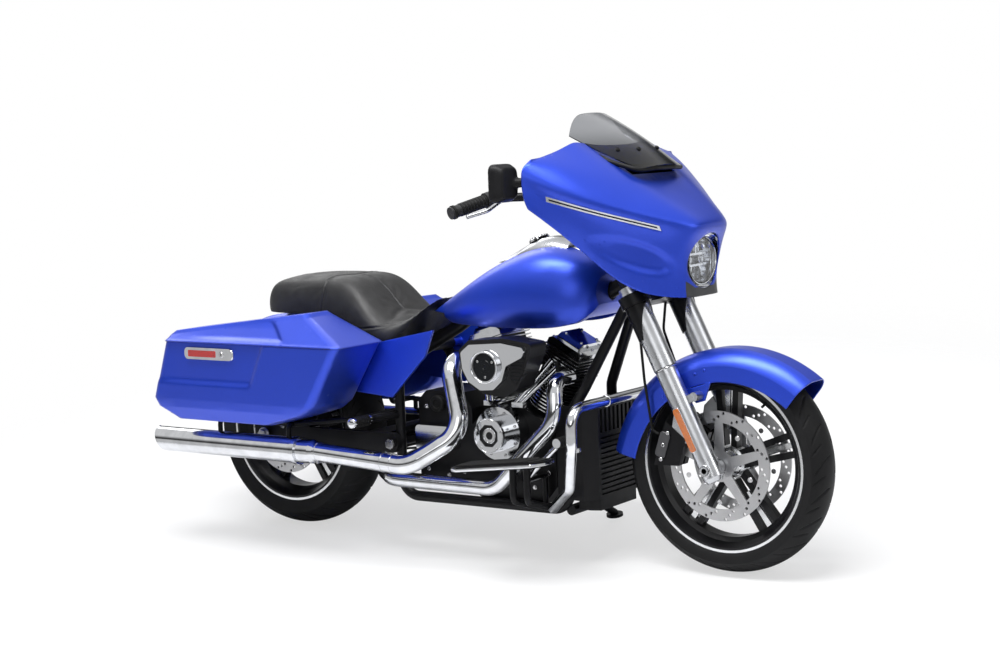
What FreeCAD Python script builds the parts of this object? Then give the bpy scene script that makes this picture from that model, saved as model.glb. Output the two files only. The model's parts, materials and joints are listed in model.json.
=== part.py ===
import FreeCAD, Part
import math
import os
import Sketcher
from FreeCAD import Placement, Rotation, Vector

# The machine is drawn upright in its own frame: x forward from the rear axle,
# y to the left, z up from the ground. The last step leans it on its side stand.
SIZES = {
    # whole machine
    "wheelbase": 1625,
    "front_radius": 319.5,
    "rear_radius": 327.5,
    "rake": 26,
    "trail": 170,
    "lean": 8.5,
    "cut_over": 6,
    "fit_gap": 0.3,
    "running_gap": 0.05,
    # tyres and cast wheels
    "front_tyre_width": 130,
    "front_tyre_shoulder": 34,
    "front_bead_radius": 241.5,
    "front_bead_width": 94,
    "rear_tyre_width": 180,
    "rear_tyre_shoulder": 44,
    "rear_bead_radius": 229,
    "rear_bead_width": 134,
    "sidewall_arc_radius": 48,
    "flange_height": 14,
    "flange_width": 7,
    "rim_wall": 9,
    "rim_well_depth": 18,
    "front_hub_radius": 46,
    "front_hub_width": 126,
    "rear_hub_radius": 58,
    "rear_hub_width": 172,
    "spoke_depth": 30,
    "spoke_width": 19,
    "spoke_spread": 31,
    "axle_radius": 12.5,
    "axle_hollow_radius": 8,
    "spacer_radius": 20,
    # brake discs and drive
    "disc_radius": 160,
    "disc_track": 34,
    "disc_thickness": 5,
    "disc_place": 68,
    "disc_arm_width": 34,
    "disc_hole_radius": 4.5,
    "disc_hole_step": 10,
    "rear_disc_radius": 146,
    "rear_disc_place": 88.5,
    "pulley_radius": 116,
    "pulley_width": 28,
    "pulley_place": 110,
    "belt_thickness": 6,
    "belt_width": 24,
    "drive_pulley_radius": 54,
    "drive_pulley_forward": 640,
    "drive_pulley_height": 350,
    # fork
    "leg_place": 125,
    "leg_radius": 31,
    "leg_below_axle": 38,
    "leg_above_axle": 315,
    "bracket_thickness": 9,
    "fender_lug_inner": 88,
    "fender_lug_ahead": 46,
    "fender_lug_up": 205,
    "fender_lug_radius": 13,
    "cover_radius": 34,
    "cover_length": 255,
    "clamp_thickness": 34,
    "lower_clamp_place": 530,
    "upper_clamp_place": 700,
    "clamp_reach": 36,
    "mount_radius": 14,
    "inner_tube_radius": 24,
    "stem_radius": 15,
    "neck_radius": 30,
    # fenders
    "front_fender_radius": 402,
    "front_fender_forward": 29.5,
    "front_fender_down": 65.6,
    "front_fender_half_width": 84,
    "front_fender_skirt": 92,
    "front_fender_crown": 105,
    "front_fender_start": 52,
    "front_fender_sweep": 115,
    "fender_wall": 3,
    "tab_start": 98,
    "tab_stop": 116,
    "tab_taper": 6,
    "tab_reach": 48,
    "tab_thickness": 6.7,
    "rear_fender_radius": 385,
    "rear_fender_half_width": 106,
    "rear_fender_skirt": 74,
    "rear_fender_crown": 190,
    "rear_fender_start": 50,
    "rear_fender_sweep": 118,
    # frame
    "backbone_radius": 22,
    "tube_radius": 16,
    "tube_bend": 60,
    "cradle_height": 160,
    "cradle_half_width": 124,
    "cradle_front": 1150,
    "cradle_rear": 530,
    "backbone_height": 755,
    "rail_height": 612,
    "rail_half_width": 128,
    "upright_place": 142,
    "cross_tube_height": 368,
    "shock_lug_radius": 10,
    "rail_rear": -150,
    "fender_bolt_rear": -135,
    "fender_bolt_front": 165,
    "bolt_radius": 9,
    "radiator_stay": 44,
    "tank_bolt_rear": 890,
    "tank_bolt_front": 1090,
    "tank_bolt_reach": 40,
    # swingarm
    "pivot_forward": 530,
    "pivot_height": 330,
    "arm_place": 176,
    "arm_thickness": 24,
    "arm_height": 62,
    "arm_nose_radius": 33,
    "cross_rear": 420,
    "cross_front": 500,
    # shocks
    "shock_place": 180,
    "shock_radius": 17,
    "shock_low_forward": 84,
    "shock_low_height": 362,
    "shock_top_forward": 190,
    "shock_top_height": 606,
    # engine
    "crank_forward": 930,
    "crank_height": 300,
    "front_bank_angle": 28,
    "rear_bank_angle": -17,
    "deck_height": 160,
    "case_half_width": 105,
    "barrel_radius": 56,
    "barrel_height": 142,
    "fin_radius": 76,
    "fin_thickness": 3.5,
    "fin_pitch": 11,
    "fin_count": 12,
    "head_half_length": 54,
    "head_half_width": 66,
    "head_height": 72,
    "head_fin_half_length": 66,
    "head_fin_half_width": 78,
    "head_fin_count": 6,
    "rocker_half_length": 62,
    "rocker_half_width": 76,
    "rocker_low_height": 24,
    "rocker_cap_inset": 10,
    "rocker_cap_height": 18,
    "gearbox_rear": 568,
    "gearbox_front": 776,
    "gearbox_low": 215,
    "gearbox_top": 490,
    "gearbox_half_width": 96,
    "cam_forward": 914,
    "cam_height": 381,
    "cam_chest_radius": 82,
    "cam_chest_depth": 52,
    "cam_cover_radius": 54,
    "cam_cover_depth": 48,
    "cam_insert_radius": 36,
    "cam_insert_depth": 4,
    "primary_front": 1010,
    "primary_rear": 677,
    "primary_height": 300,
    "primary_front_radius": 104,
    "primary_rear_radius": 106,
    "primary_depth": 92,
    "side_cover_forward": 664,
    "side_cover_height": 350,
    "side_cover_half_length": 66,
    "side_cover_half_height": 40,
    "side_cover_bend": 14,
    "side_cover_depth": 60,
    "pushrod_radius": 9,
    # air cleaner
    "cleaner_forward": 1000,
    "cleaner_height": 600,
    "cleaner_inner": 196,
    "cleaner_depth": 84,
    "cleaner_length": 262,
    "cleaner_tall": 172,
    "cleaner_face_radius": 48,
    "cleaner_face_depth": 12,
    "cleaner_bend": 12,
    "cleaner_face_back": 18,
    "cleaner_face_up": 6,
    "intake_radius": 30,
    "runner_radius": 24,
    # exhaust
    "header_radius": 24,
    "shield_radius": 30,
    "muffler_radius": 41,
    "muffler_place": 330,
    "muffler_height": 313,
    "muffler_tip": -348,
    "muffler_front": 256,
    "muffler_cone": 70,
    "strap_width": 18,
    "muffler_wall": 3,
    "tip_depth": 90,
    "tip_slant": 38,
    # tank and console
    "tank_rear": 598,
    "tank_front": 1240,
    "tank_half_width": 168,
    "tank_low": 703,
    "tank_rise": 240,
    "tunnel_half_width": 84,
    "tunnel_top": 735,
    "spine_gap": 3,
    "console_half_width": 46,
    "console_rise": 34,
    # seat
    "seat_rear": -30,
    "seat_lap": 38.4,
    "seat_half_width": 178,
    "seat_low": 628.4,
    "seat_rise": 219.6,
    # saddlebags
    "bag_inner": 205,
    "bag_outer": 440,
    "bag_low": 399,
    "bag_seam": 655,
    "bag_rear": -276,
    "bag_front": 524,
    "bag_wall": 4,
    "bag_corner": 28,
    "hanger_rear": -70,
    "hanger_front": 225,
    "hanger_place": 196.5,
    "hanger_radius": 8,
    "rail_nose_forward": 420,
    "rail_nose_place": 205,
    "rail_nose_height": 405,
    "lid_rear": -206,
    "lid_front": 536,
    "lid_ridge": 345,
    "lid_rear_top": 686,
    "lid_front_top": 750,
    "lid_gap": 1,
    "lid_edge": 12,
    "hinge_radius": 4,
    # side covers
    "panel_thickness": 10,
    "panel_place": 188,
    # radiator
    "radiator_front": 1246,
    "radiator_rear": 1196,
    "radiator_half_width": 148,
    "radiator_low": 196,
    "radiator_top": 478,
    "chin_rear": 1172,
    "chin_tall": 34,
    "louvre_share": 0.66,
    "louvre_margin": 12,
    "louvre_width": 12,
    "louvre_tall": 6,
    "louvre_depth": 9,
    "chin_rear": 1172,
    "chin_low": 168,
    # engine guard
    "guard_radius": 15.9,
    "guard_forward": 1284,
    "guard_height": 497,
    "guard_half_width": 316,
    "guard_bend": 55,
    # footboards
    "board_inner": 262,
    "board_outer": 372,
    "board_rear": 880,
    "board_length": 330,
    "board_height": 292,
    "board_thickness": 16,
    "board_tilt": 7,
    "board_bar_rear": 1030,
    "board_bar_front": 1080,
    "board_bar_knee": 212,
    "board_bar_low": 200,
    "board_bar_radius": 11,
    "pedal_place": 228,
    "pedal_pivot": 1060,
    "shifter_pivot": 1060,
    "pedal_toe": 1190,
    "shifter_heel": 880,
    "pedal_low": 262,
    "pedal_high": 384,
    "pedal_boss_radius": 12,
    "pedal_radius": 8,
    "pedal_pad": 50,
    "pedal_pad_radius": 14,
    # pegs
    "peg_forward": 500,
    "peg_height": 415,
    "peg_inner": 262,
    "peg_length": 88,
    "peg_radius": 15,
    "peg_bar_radius": 12,
    "peg_bar_bend": 24,
    "pin_gap": 1,
    # side stand
    "stand_forward": 965,
    "stand_place": 156,
    "stand_height": 176,
    "foot_forward": 1025,
    "foot_place": 330,
    "foot_radius": 27,
    "foot_thickness": 9,
    "stand_radius": 12,
    "fold_out_share": 0.2,
    "fold_down_share": 0.12,
    # fairing
    "fairing_rear": 1217,
    "fairing_length": 375,
    "fairing_half_width": 427,
    "fairing_low": 798,
    "fairing_rise": 464,
    "fairing_wall": 4,
    "lamp_forward": 1548,
    "lamp_height": 903,
    "lamp_half_width": 82,
    "lamp_half_height": 71,
    "lamp_depth": 82,
    "lamp_rim": 16,
    "lamp_margin": 9,
    "vent_forward": 1330,
    "vent_depth": 90,
    "vent_half_width": 124,
    "vent_height": 1156,
    "vent_tall": 27,
    "screen_low": 1172,
    "screen_top": 1338,
    "screen_front": 1440,
    "screen_rear": 1194,
    "screen_half_width": 150,
    "screen_wall": 4,
    "bead_radius": 7,
    "bead_bend": 30,
    # handlebar
    "bar_radius": 12.7,
    "grip_radius": 18,
    "grip_outer": 442,
    "grip_inner": 318,
    "grip_outer_forward": 992,
    "grip_outer_height": 1068,
    "grip_inner_forward": 1042,
    "grip_inner_height": 1102,
    "riser_place": 52,
    # mirrors
    "mirror_place": 448,
    "mirror_forward": 1172,
    "mirror_height": 1148,
    "mirror_width": 96,
    "mirror_tall": 108,
    "mirror_depth": 46,
    "mirror_bend": 20,
    "mirror_rim": 6,
    "mirror_stub_radius": 14,
    # places added while drawing
    "caliper_over": 42,
    "caliper_start": 142,
    "caliper_sweep": 40,
    "caliper_width": 54,
    "rear_caliper_start": 14,
    "plate_angle": 152,
    "plate_stand": 26,
    "plate_half_width": 89,
    "plate_half_height": 52,
    "plate_thickness": 3,
    "plate_hole_place": 73,
    "plate_hole_height": 35,
    "plate_hole_radius": 3.4,
    "tail_lamp_angle": 138,
    "tail_lamp_place": 68,
    "tail_lamp_radius": 24,
    "tail_lamp_depth": 26,
    "shroud_start": 96,
    "shroud_wall": 4,
    "line_radius": 4,
    "line_place": 100,
    "line_loop": 60,
    "line_knee_forward": 1402,
    "line_knee_height": 560,
    "line_top_forward": 1372,
    "line_top_height": 690,
    "neck_gap": 6,
    "downtube_step": 30,
    "downtube_knee_height": 520,
    "downtube_low_height": 440,
    "backbone_drop_length": 110,
    "backbone_drop": 70,
    "deck_half_length": 62,
    "pushrod_spread": 15,
    "pushrod_foot_spread": 52,
    "pushrod_foot_rise": 92,
    "intake_start": 84,
    "intake_back": 40,
    "port_out": 84,
    "rear_port_forward": 770,
    "rear_port_height": 600,
    "rear_header_out": 220,
    "rear_header_forward": 842,
    "rear_header_low": 390,
    "pipe_joint_forward": 700,
    "pipe_drop": 18,
    "header_bend": 90,
    "front_port_forward": 1130,
    "front_port_height": 555,
    "front_header_out": 195,
    "header_low_height": 220,
    "crossover_forward": 420,
    "side_panel_rear": 290,
    "side_panel_front": 712,
    "side_panel_low": 478,
    "side_panel_top": 694,
    "strip_rear": 1270,
    "strip_rear_height": 1100,
    "strip_front": 1508,
    "strip_front_height": 1005,
    "strip_height": 15,
    "strip_inner": 150,
    "bar_elbow_forward": 1190,
    "bar_elbow_place": 215,
    "bar_knee_forward": 1262,
    "bar_knee_place": 120,
    "bar_knee_height": 1050,
    "bar_centre_forward": 1298,
    "bar_centre_height": 1018,
    "bar_bend": 60,
    "grip_length": 122,
    "switch_length": 46,
    "switch_radius": 23,
    "lever_reach": 44,
    "lever_drop": 14,
    "lever_radius": 6,
    "lever_arm_radius": 9,
    "cheek_rear": 1122,
    "cheek_wall": 4,
    "guard_foot_forward": 1105,
    "guard_foot_height": 166,
    "guard_knee_forward": 1226,
    "guard_knee_place": 245,
    "guard_knee_height": 250,
    "radiator_face_half_width": 112,
    "radiator_shoulder": 1212,
    "pivot_pin_radius": 14,
    "port_clear": 2,
    "front_port_turn_forward": 1150,
    "front_port_turn_out": 166,
}

DOCUMENT = FreeCAD.newDocument("touring_motorcycle")
ACROSS = Vector(0, 1, 0)
AHEAD = Vector(1, 0, 0)
UPWARD = Vector(0, 0, 1)


class Size:
    """A value of the sheet, or one worked out from it, with the expression that gives it."""

    def __init__(self, value, text):
        self.value = float(value)
        self.text = text

    def __float__(self):
        return self.value

    def __add__(self, other):
        return Size(self.value + float(other), f"({self.text} + {written(other)})")

    def __radd__(self, other):
        return Size(float(other) + self.value, f"({written(other)} + {self.text})")

    def __sub__(self, other):
        return Size(self.value - float(other), f"({self.text} - {written(other)})")

    def __rsub__(self, other):
        return Size(float(other) - self.value, f"({written(other)} - {self.text})")

    def __mul__(self, other):
        return Size(self.value * float(other), f"({self.text} * {written(other)})")

    def __rmul__(self, other):
        return Size(float(other) * self.value, f"({written(other)} * {self.text})")

    def __truediv__(self, other):
        return Size(self.value / float(other), f"({self.text} / {written(other)})")

    def __neg__(self):
        return Size(-self.value, f"(0 - {self.text})")


def written(number):
    """The expression text of a size or of a plain number."""
    if isinstance(number, Size):
        return number.text
    return repr(float(number))


class Sheet:
    """The driving dimensions, read as attributes."""

    def __init__(self, values):
        self._values = values
        self._sheet = DOCUMENT.addObject("Spreadsheet::Sheet", "sizes")
        for row, (word, number) in enumerate(values.items(), start=1):
            self._sheet.set(f"A{row}", word)
            self._sheet.set(f"B{row}", str(number))
            self._sheet.setAlias(f"B{row}", word)
        DOCUMENT.recompute()

    def __getattr__(self, word):
        return Size(getattr(self._sheet, word), f"sizes.{word}")


size = Sheet(SIZES)
TANK_LENGTH = size.tank_front - size.tank_rear
SEAT_LENGTH = size.tank_rear + size.seat_lap - size.seat_rear


# Places and directions
def at(forward, left, up):
    """A point from three sizes or numbers."""
    return Vector(float(forward), float(left), float(up))


def turned(axis, degrees, place=Vector()):
    """A placement that turns about an axis through the origin and then moves."""
    return Placement(place, Rotation(axis, float(degrees)))


RAKE = math.radians(float(size.rake))
LEAN = math.radians(float(size.lean))
FRONT_AXLE = at(size.wheelbase, 0, size.front_radius)
REAR_AXLE = at(0, 0, size.rear_radius)
# The fork's own frame has its origin on the front axle and z up along the legs.
FORK = turned(ACROSS, -size.rake, FRONT_AXLE)
STEM_AHEAD = float(size.trail) * math.cos(RAKE) - float(size.front_radius) * math.sin(RAKE)


def crown_radius(width, rise):
    """The radius of a tread arc from its width and its rise over the shoulders."""
    return (width * width / 4 + rise * rise) / (2 * rise)


# The tread arcs roll over as the machine leans, which lowers it a little.
LEAN_DROP = float(crown_radius(size.rear_tyre_width, size.rear_tyre_shoulder)) * (1 - math.cos(LEAN))
LEANING = turned(AHEAD, -size.lean, at(-size.wheelbase / 2, 0, LEAN_DROP))


# Sketches and features
def sketch_on(body, plane, name, shift=None):
    """A sketch on one of a body's own origin planes, shifted along its normal."""
    base = [item for item in body.Origin.OriginFeatures if item.Role == plane][0]
    sketch = body.newObject("Sketcher::SketchObject", name)
    sketch.AttachmentSupport = [(base, "")]
    sketch.MapMode = "FlatFace"
    if shift is not None:
        sketch.setExpression("AttachmentOffset.Base.z", written(shift))
    return sketch


def hold(sketch, kind, number, corner, value):
    """A signed distance of a corner from the sketch's origin, bound to the sheet."""
    row = sketch.addConstraint(Sketcher.Constraint(kind, -1, 1, number, corner, float(value)))
    sketch.setExpression(f"Constraints[{row}]", written(value))


def outline(sketch, corners):
    """A closed outline. A corner with a third value starts an arc of that radius."""
    first = sketch.GeometryCount
    ends = []
    for here, there in zip(corners, corners[1:] + corners[:1]):
        start = Vector(float(here[0]), float(here[1]), 0)
        stop = Vector(float(there[0]), float(there[1]), 0)
        if len(here) == 2:
            sketch.addGeometry(Part.LineSegment(start, stop))
            ends.append((1, 2))
        else:
            ends.append(add_arc(sketch, start, stop, float(here[2])))
    count = len(corners)
    for index, corner in enumerate(corners):
        after = (index + 1) % count
        sketch.addConstraint(Sketcher.Constraint(
            "Coincident", first + index, ends[index][1], first + after, ends[after][0]))
        hold(sketch, "DistanceX", first + index, ends[index][0], corner[0])
        hold(sketch, "DistanceY", first + index, ends[index][0], corner[1])
        if len(corner) == 3:
            bend = corner[2] if float(corner[2]) > 0 else -corner[2]
            row = sketch.addConstraint(Sketcher.Constraint("Radius", first + index, float(bend)))
            sketch.setExpression(f"Constraints[{row}]", written(bend))


def add_arc(sketch, start, stop, bend):
    """An arc that bulges to the right of its way for a positive radius."""
    chord = stop - start
    reach = abs(bend)
    drop = math.sqrt(max(reach * reach - chord.Length * chord.Length / 4, 0))
    side = Vector(-chord.y, chord.x, 0).normalize() * (drop if bend > 0 else -drop)
    centre = (start + stop) * 0.5 + side
    first, last = (start, stop) if bend > 0 else (stop, start)
    begin = math.atan2(first.y - centre.y, first.x - centre.x)
    end = math.atan2(last.y - centre.y, last.x - centre.x)
    if end < begin:
        end += 2 * math.pi
    sketch.addGeometry(Part.ArcOfCircle(Part.Circle(centre, UPWARD, reach), begin, end))
    return (1, 2) if bend > 0 else (2, 1)


def ring(sketch, across, along, radius):
    """A circle bound to the sheet."""
    centre = Vector(float(across), float(along), 0)
    number = sketch.addGeometry(Part.Circle(centre, UPWARD, float(radius)))
    hold(sketch, "DistanceX", number, 3, across)
    hold(sketch, "DistanceY", number, 3, along)
    row = sketch.addConstraint(Sketcher.Constraint("Radius", number, float(radius)))
    sketch.setExpression(f"Constraints[{row}]", written(radius))


def bound(feature, name, value):
    """A property that follows the sheet."""
    setattr(feature, name, float(value))
    feature.setExpression(name, written(value))


def pad(body, sketch, length, name, midplane=True, backward=False):
    """A pad of a sketch, on both sides of its plane or on one."""
    feature = body.newObject("PartDesign::Pad", name)
    feature.Profile = sketch
    bound(feature, "Length", length)
    feature.Midplane = midplane
    feature.Reversed = backward
    return feature


def pocket(body, sketch, depth, name):
    """A pocket cut to both sides of a sketch's plane."""
    feature = body.newObject("PartDesign::Pocket", name)
    feature.Profile = sketch
    bound(feature, "Length", depth)
    feature.Midplane = True
    return feature


def turning(body, sketch, name, axis="H_Axis", sweep=360):
    """A solid of revolution about one of the sketch's axes."""
    feature = body.newObject("PartDesign::Revolution", name)
    feature.Profile = sketch
    feature.ReferenceAxis = (sketch, [axis])
    feature.Angle = float(sweep)
    if isinstance(sweep, Size):
        feature.setExpression("Angle", sweep.text)
    return feature


def around(body, features, count, name, role="Y_Axis"):
    """Copies of features in a circle about one of the body's origin axes."""
    pattern = body.newObject("PartDesign::PolarPattern", name)
    pattern.Originals = features
    pattern.Axis = ([item for item in body.Origin.OriginFeatures if item.Role == role][0], [""])
    pattern.Angle = 360
    pattern.Occurrences = count
    body.Tip = pattern
    return pattern


def in_row(body, features, count, length, name, role="Z_Axis"):
    """Copies of features in a row along one of the body's origin axes."""
    pattern = body.newObject("PartDesign::LinearPattern", name)
    pattern.Originals = features
    pattern.Direction = ([item for item in body.Origin.OriginFeatures if item.Role == role][0], [""])
    bound(pattern, "Length", length)
    pattern.Occurrences = count
    body.Tip = pattern
    return pattern


def new_body(name):
    """An empty body."""
    return DOCUMENT.addObject("PartDesign::Body", name)


# Shapes that no sketch gives
def rod(start, stop, radius):
    """A round bar between two points."""
    return Part.makeCylinder(float(radius), (stop - start).Length, start, stop - start)


def rounded_path(points, bend):
    """Straight runs joined by tangent arcs, as one wire."""
    edges = []
    here = points[0]
    for before, corner, after in zip(points, points[1:], points[2:]):
        back = (before - corner).normalize()
        onward = (after - corner).normalize()
        half = back.getAngle(onward) / 2
        shortest = min((before - corner).Length, (after - corner).Length)
        reach = min(float(bend) / math.tan(half), 0.48 * shortest)
        inner = reach * math.tan(half)
        start = corner + back * reach
        stop = corner + onward * reach
        middle_way = (back + onward).normalize()
        centre = corner + middle_way * (inner / math.sin(half))
        middle = centre - middle_way * inner
        edges.append(Part.LineSegment(here, start).toShape())
        edges.append(Part.Arc(start, middle, stop).toShape())
        here = stop
    edges.append(Part.LineSegment(here, points[-1]).toShape())
    return Part.Wire(edges)


def tube(points, radius, bend):
    """A round bar along rounded runs."""
    path = rounded_path(points, bend)
    mouth = Part.Wire([Part.Circle(points[0], points[1] - points[0], float(radius)).toShape()])
    return path.makePipeShell([mouth], True, False)


def rounded_loop(corners, bend):
    """A closed flat outline with rounded corners."""
    edges = []
    count = len(corners)
    spans = []
    for index, corner in enumerate(corners):
        back = (corners[index - 1] - corner).normalize()
        onward = (corners[(index + 1) % count] - corner).normalize()
        half = back.getAngle(onward) / 2
        reach = float(bend) / math.tan(half)
        middle_way = (back + onward).normalize()
        centre = corner + middle_way * (float(bend) / math.sin(half))
        spans.append((corner + back * reach, centre - middle_way * float(bend), corner + onward * reach))
    for index, (start, middle, stop) in enumerate(spans):
        edges.append(Part.Arc(start, middle, stop).toShape())
        edges.append(Part.LineSegment(stop, spans[(index + 1) % count][0]).toShape())
    return Part.Wire(edges)


def patch(rows):
    """A smooth face drawn by a net of points, three spans wide at every point."""
    order = 3
    knots_across = list(range(len(rows) - order + 1))
    knots_along = list(range(len(rows[0]) - order + 1))
    counts_across = [order + 1] + [1] * (len(knots_across) - 2) + [order + 1]
    counts_along = [order + 1] + [1] * (len(knots_along) - 2) + [order + 1]
    surface = Part.BSplineSurface()
    surface.buildFromPolesMultsKnots(
        rows, counts_across, counts_along, knots_across, knots_along, False, False, order, order)
    return surface.toShape()


def net_normals(rows):
    """The outward direction at each point of a net."""
    found = []
    last_row, last_column = len(rows) - 1, len(rows[0]) - 1
    for i, row in enumerate(rows):
        line = []
        for j in range(len(row)):
            across = rows[min(i + 1, last_row)][j] - rows[max(i - 1, 0)][j]
            along = row[min(j + 1, last_column)] - row[max(j - 1, 0)]
            line.append(along.cross(across).normalize())
        found.append(line)
    return found


def skin(rows, wall):
    """A panel of even thickness behind a net of points."""
    inner = [[point - way * float(wall) for point, way in zip(row, ways)]
             for row, ways in zip(rows, net_normals(rows))]
    outside, inside = patch(rows), patch(inner)
    faces = [outside, inside]
    for edge, mate in zip(outside.Edges, inside.Edges):
        faces.append(Part.makeRuledSurface(edge, mate))
    return closed_solid(faces)


def hull(rows):
    """A solid under a net of arches, each arch in a plane across the machine."""
    top = patch(rows)
    left, right, sides = None, None, []
    faces = [top]
    for edge in top.Edges:
        first, last = edge.valueAt(edge.FirstParameter), edge.valueAt(edge.LastParameter)
        if abs(first.x - last.x) < abs(first.x) * 1e-6 + 1e-6:
            chord = Part.LineSegment(last, first).toShape()
            faces.append(Part.Face(Part.Wire([edge, chord])))
        else:
            sides.append(edge)
    left, right = sides
    faces.append(Part.makeRuledSurface(left, right))
    return closed_solid(faces)


def closed_solid(faces):
    """A solid from faces that meet edge to edge."""
    shell = Part.makeShell(faces)
    shell.sewShape()
    solid = Part.Solid(shell)
    if solid.Volume < 0:
        solid.reverse()
    return solid


def mirrored(shape):
    """The same shape on the other side of the machine."""
    return shape.mirror(Vector(), ACROSS)


def both_sides(points):
    """A row of points from the right over the middle to the left, from its left half."""
    right = [at(p.x, -p.y, p.z) for p in reversed(points) if p.y > 0]
    return right + list(points)


def share(low, high, part):
    """A value part of the way from one size to another."""
    return float(low) + (float(high) - float(low)) * part


# Finished pieces
NODES = {}


def finish(name, item, place=None):
    """Name a sub-part and put it in the leaning machine."""
    item.Label = name
    item.Placement = LEANING.multiply(place) if place else LEANING
    NODES[name] = item


def shaped(name, shape, place=None):
    """A sub-part whose shape was worked out above."""
    feature = DOCUMENT.addObject("Part::Feature", name)
    feature.Shape = shape
    own = shape.Placement
    finish(name, feature, place.multiply(own) if place else own)


def pair(name, body):
    """A sub-part and its mirror image across the machine, as one node."""
    twin = DOCUMENT.addObject("Part::Mirroring", f"{name}_twin")
    twin.Source = body
    twin.Base = Vector()
    twin.Normal = ACROSS
    group = DOCUMENT.addObject("Part::Compound", name)
    group.Links = [body, twin]
    finish(name, group)


# Wheels
def tyre(name, wheel_radius, width, rise, bead_radius, bead_width, place):
    """A tyre turned about its axle, with a tread arc between bulged walls."""
    body = new_body(f"{name}_body")
    sketch = sketch_on(body, "YZ_Plane", f"{name}_profile")
    shoulder = wheel_radius - rise
    step = bead_radius + size.flange_height
    side = bead_width / 2 + size.flange_width
    outline(sketch, [
        (-bead_width / 2, bead_radius),
        (bead_width / 2, bead_radius),
        (bead_width / 2, step),
        (side, step, size.sidewall_arc_radius),
        (width / 2, shoulder, crown_radius(width, rise)),
        (-width / 2, shoulder, size.sidewall_arc_radius),
        (-side, step),
        (-bead_width / 2, step),
    ])
    turning(body, sketch, f"{name}_turned")
    finish(name, body, Placement(place, Rotation()))


def cast_wheel(name, bead_radius, bead_width, hub_radius, hub_width, place):
    """A cast wheel: turned rim and hub, joined by five pairs of spokes."""
    body = new_body(f"{name}_body")
    half = bead_width / 2 + size.fit_gap
    seat = bead_radius - size.fit_gap
    lip = half + size.flange_width
    well = seat - size.rim_well_depth
    rim = sketch_on(body, "YZ_Plane", f"{name}_rim_profile")
    outline(rim, [
        (lip, seat + size.flange_height),
        (half, seat + size.flange_height),
        (half, seat),
        (half - size.rim_well_depth, seat - size.rim_wall / 4),
        (half * 0.45, well),
        (-half * 0.45, well),
        (-half + size.rim_well_depth, seat - size.rim_wall / 4),
        (-half, seat),
        (-half, seat + size.flange_height),
        (-lip, seat + size.flange_height),
        (-lip, seat),
        (-half + size.rim_well_depth, seat - size.rim_wall * 1.5),
        (-half * 0.45, well - size.rim_wall),
        (half * 0.45, well - size.rim_wall),
        (half - size.rim_well_depth, seat - size.rim_wall * 1.5),
        (lip, seat),
    ])
    turning(body, rim, f"{name}_rim")
    spokes = sketch_on(body, "XZ_Plane", f"{name}_spoke_outline")
    root, end = hub_radius * 0.8, well - size.rim_wall / 2
    for side in (-1, 1):
        near = size.spoke_spread * (side * 0.55)
        far = size.spoke_spread * (side * 0.9)
        outline(spokes, [
            (near - size.spoke_width / 2, root),
            (near + size.spoke_width / 2, root),
            (far + size.spoke_width / 2, end),
            (far - size.spoke_width / 2, end),
        ])
    arms = pad(body, spokes, size.spoke_depth, f"{name}_spokes")
    around(body, [arms], 5, f"{name}_spoke_ring")
    hub = sketch_on(body, "YZ_Plane", f"{name}_hub_profile")
    bore = size.axle_radius + size.running_gap
    outline(hub, [
        (-hub_width / 2, bore),
        (hub_width / 2, bore),
        (hub_width / 2, hub_radius * 0.8),
        (hub_width * 0.28, hub_radius),
        (-hub_width * 0.28, hub_radius),
        (-hub_width / 2, hub_radius * 0.8),
    ])
    turning(body, hub, f"{name}_hub")
    hole = sketch_on(body, "XZ_Plane", f"{name}_bore_outline")
    ring(hole, 0, 0, bore)
    pocket(body, hole, hub_width + size.cut_over, f"{name}_bore")
    finish(name, body, Placement(place, Rotation()))


def disc_body(name, radius, side_place, arm_count):
    """A drilled brake disc on arms."""
    body = new_body(name)
    sketch = sketch_on(body, "XZ_Plane", f"{name}_track_outline", -side_place)
    ring(sketch, 0, 0, radius)
    ring(sketch, 0, 0, radius - size.disc_track)
    pad(body, sketch, size.disc_thickness, f"{name}_track")
    arm = sketch_on(body, "XZ_Plane", f"{name}_arm_outline", -side_place)
    half = size.disc_arm_width / 2
    outline(arm, [
        (-half, size.axle_radius * 2),
        (half, size.axle_radius * 2),
        (half * 0.7, radius - size.disc_track * 0.8),
        (-half * 0.7, radius - size.disc_track * 0.8),
    ])
    arms = pad(body, arm, size.disc_thickness, f"{name}_arm")
    around(body, [arms], arm_count, f"{name}_arms")
    boss = sketch_on(body, "XZ_Plane", f"{name}_boss_outline", -side_place)
    ring(boss, 0, 0, size.front_hub_radius)
    ring(boss, 0, 0, size.axle_radius + size.running_gap)
    pad(body, boss, size.disc_thickness, f"{name}_boss")
    drill = sketch_on(body, "XZ_Plane", f"{name}_drill_outline", -side_place)
    middle = radius - size.disc_track / 2
    lean_share = 0.26
    for step in (-1, 0, 1):
        along = middle + size.disc_hole_step * step
        ring(drill, along * (lean_share * 0.4 * step), along, size.disc_hole_radius)
    hole = pocket(body, drill, size.disc_thickness + size.cut_over, f"{name}_drill")
    around(body, [hole], 15, f"{name}_holes")
    return body


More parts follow.
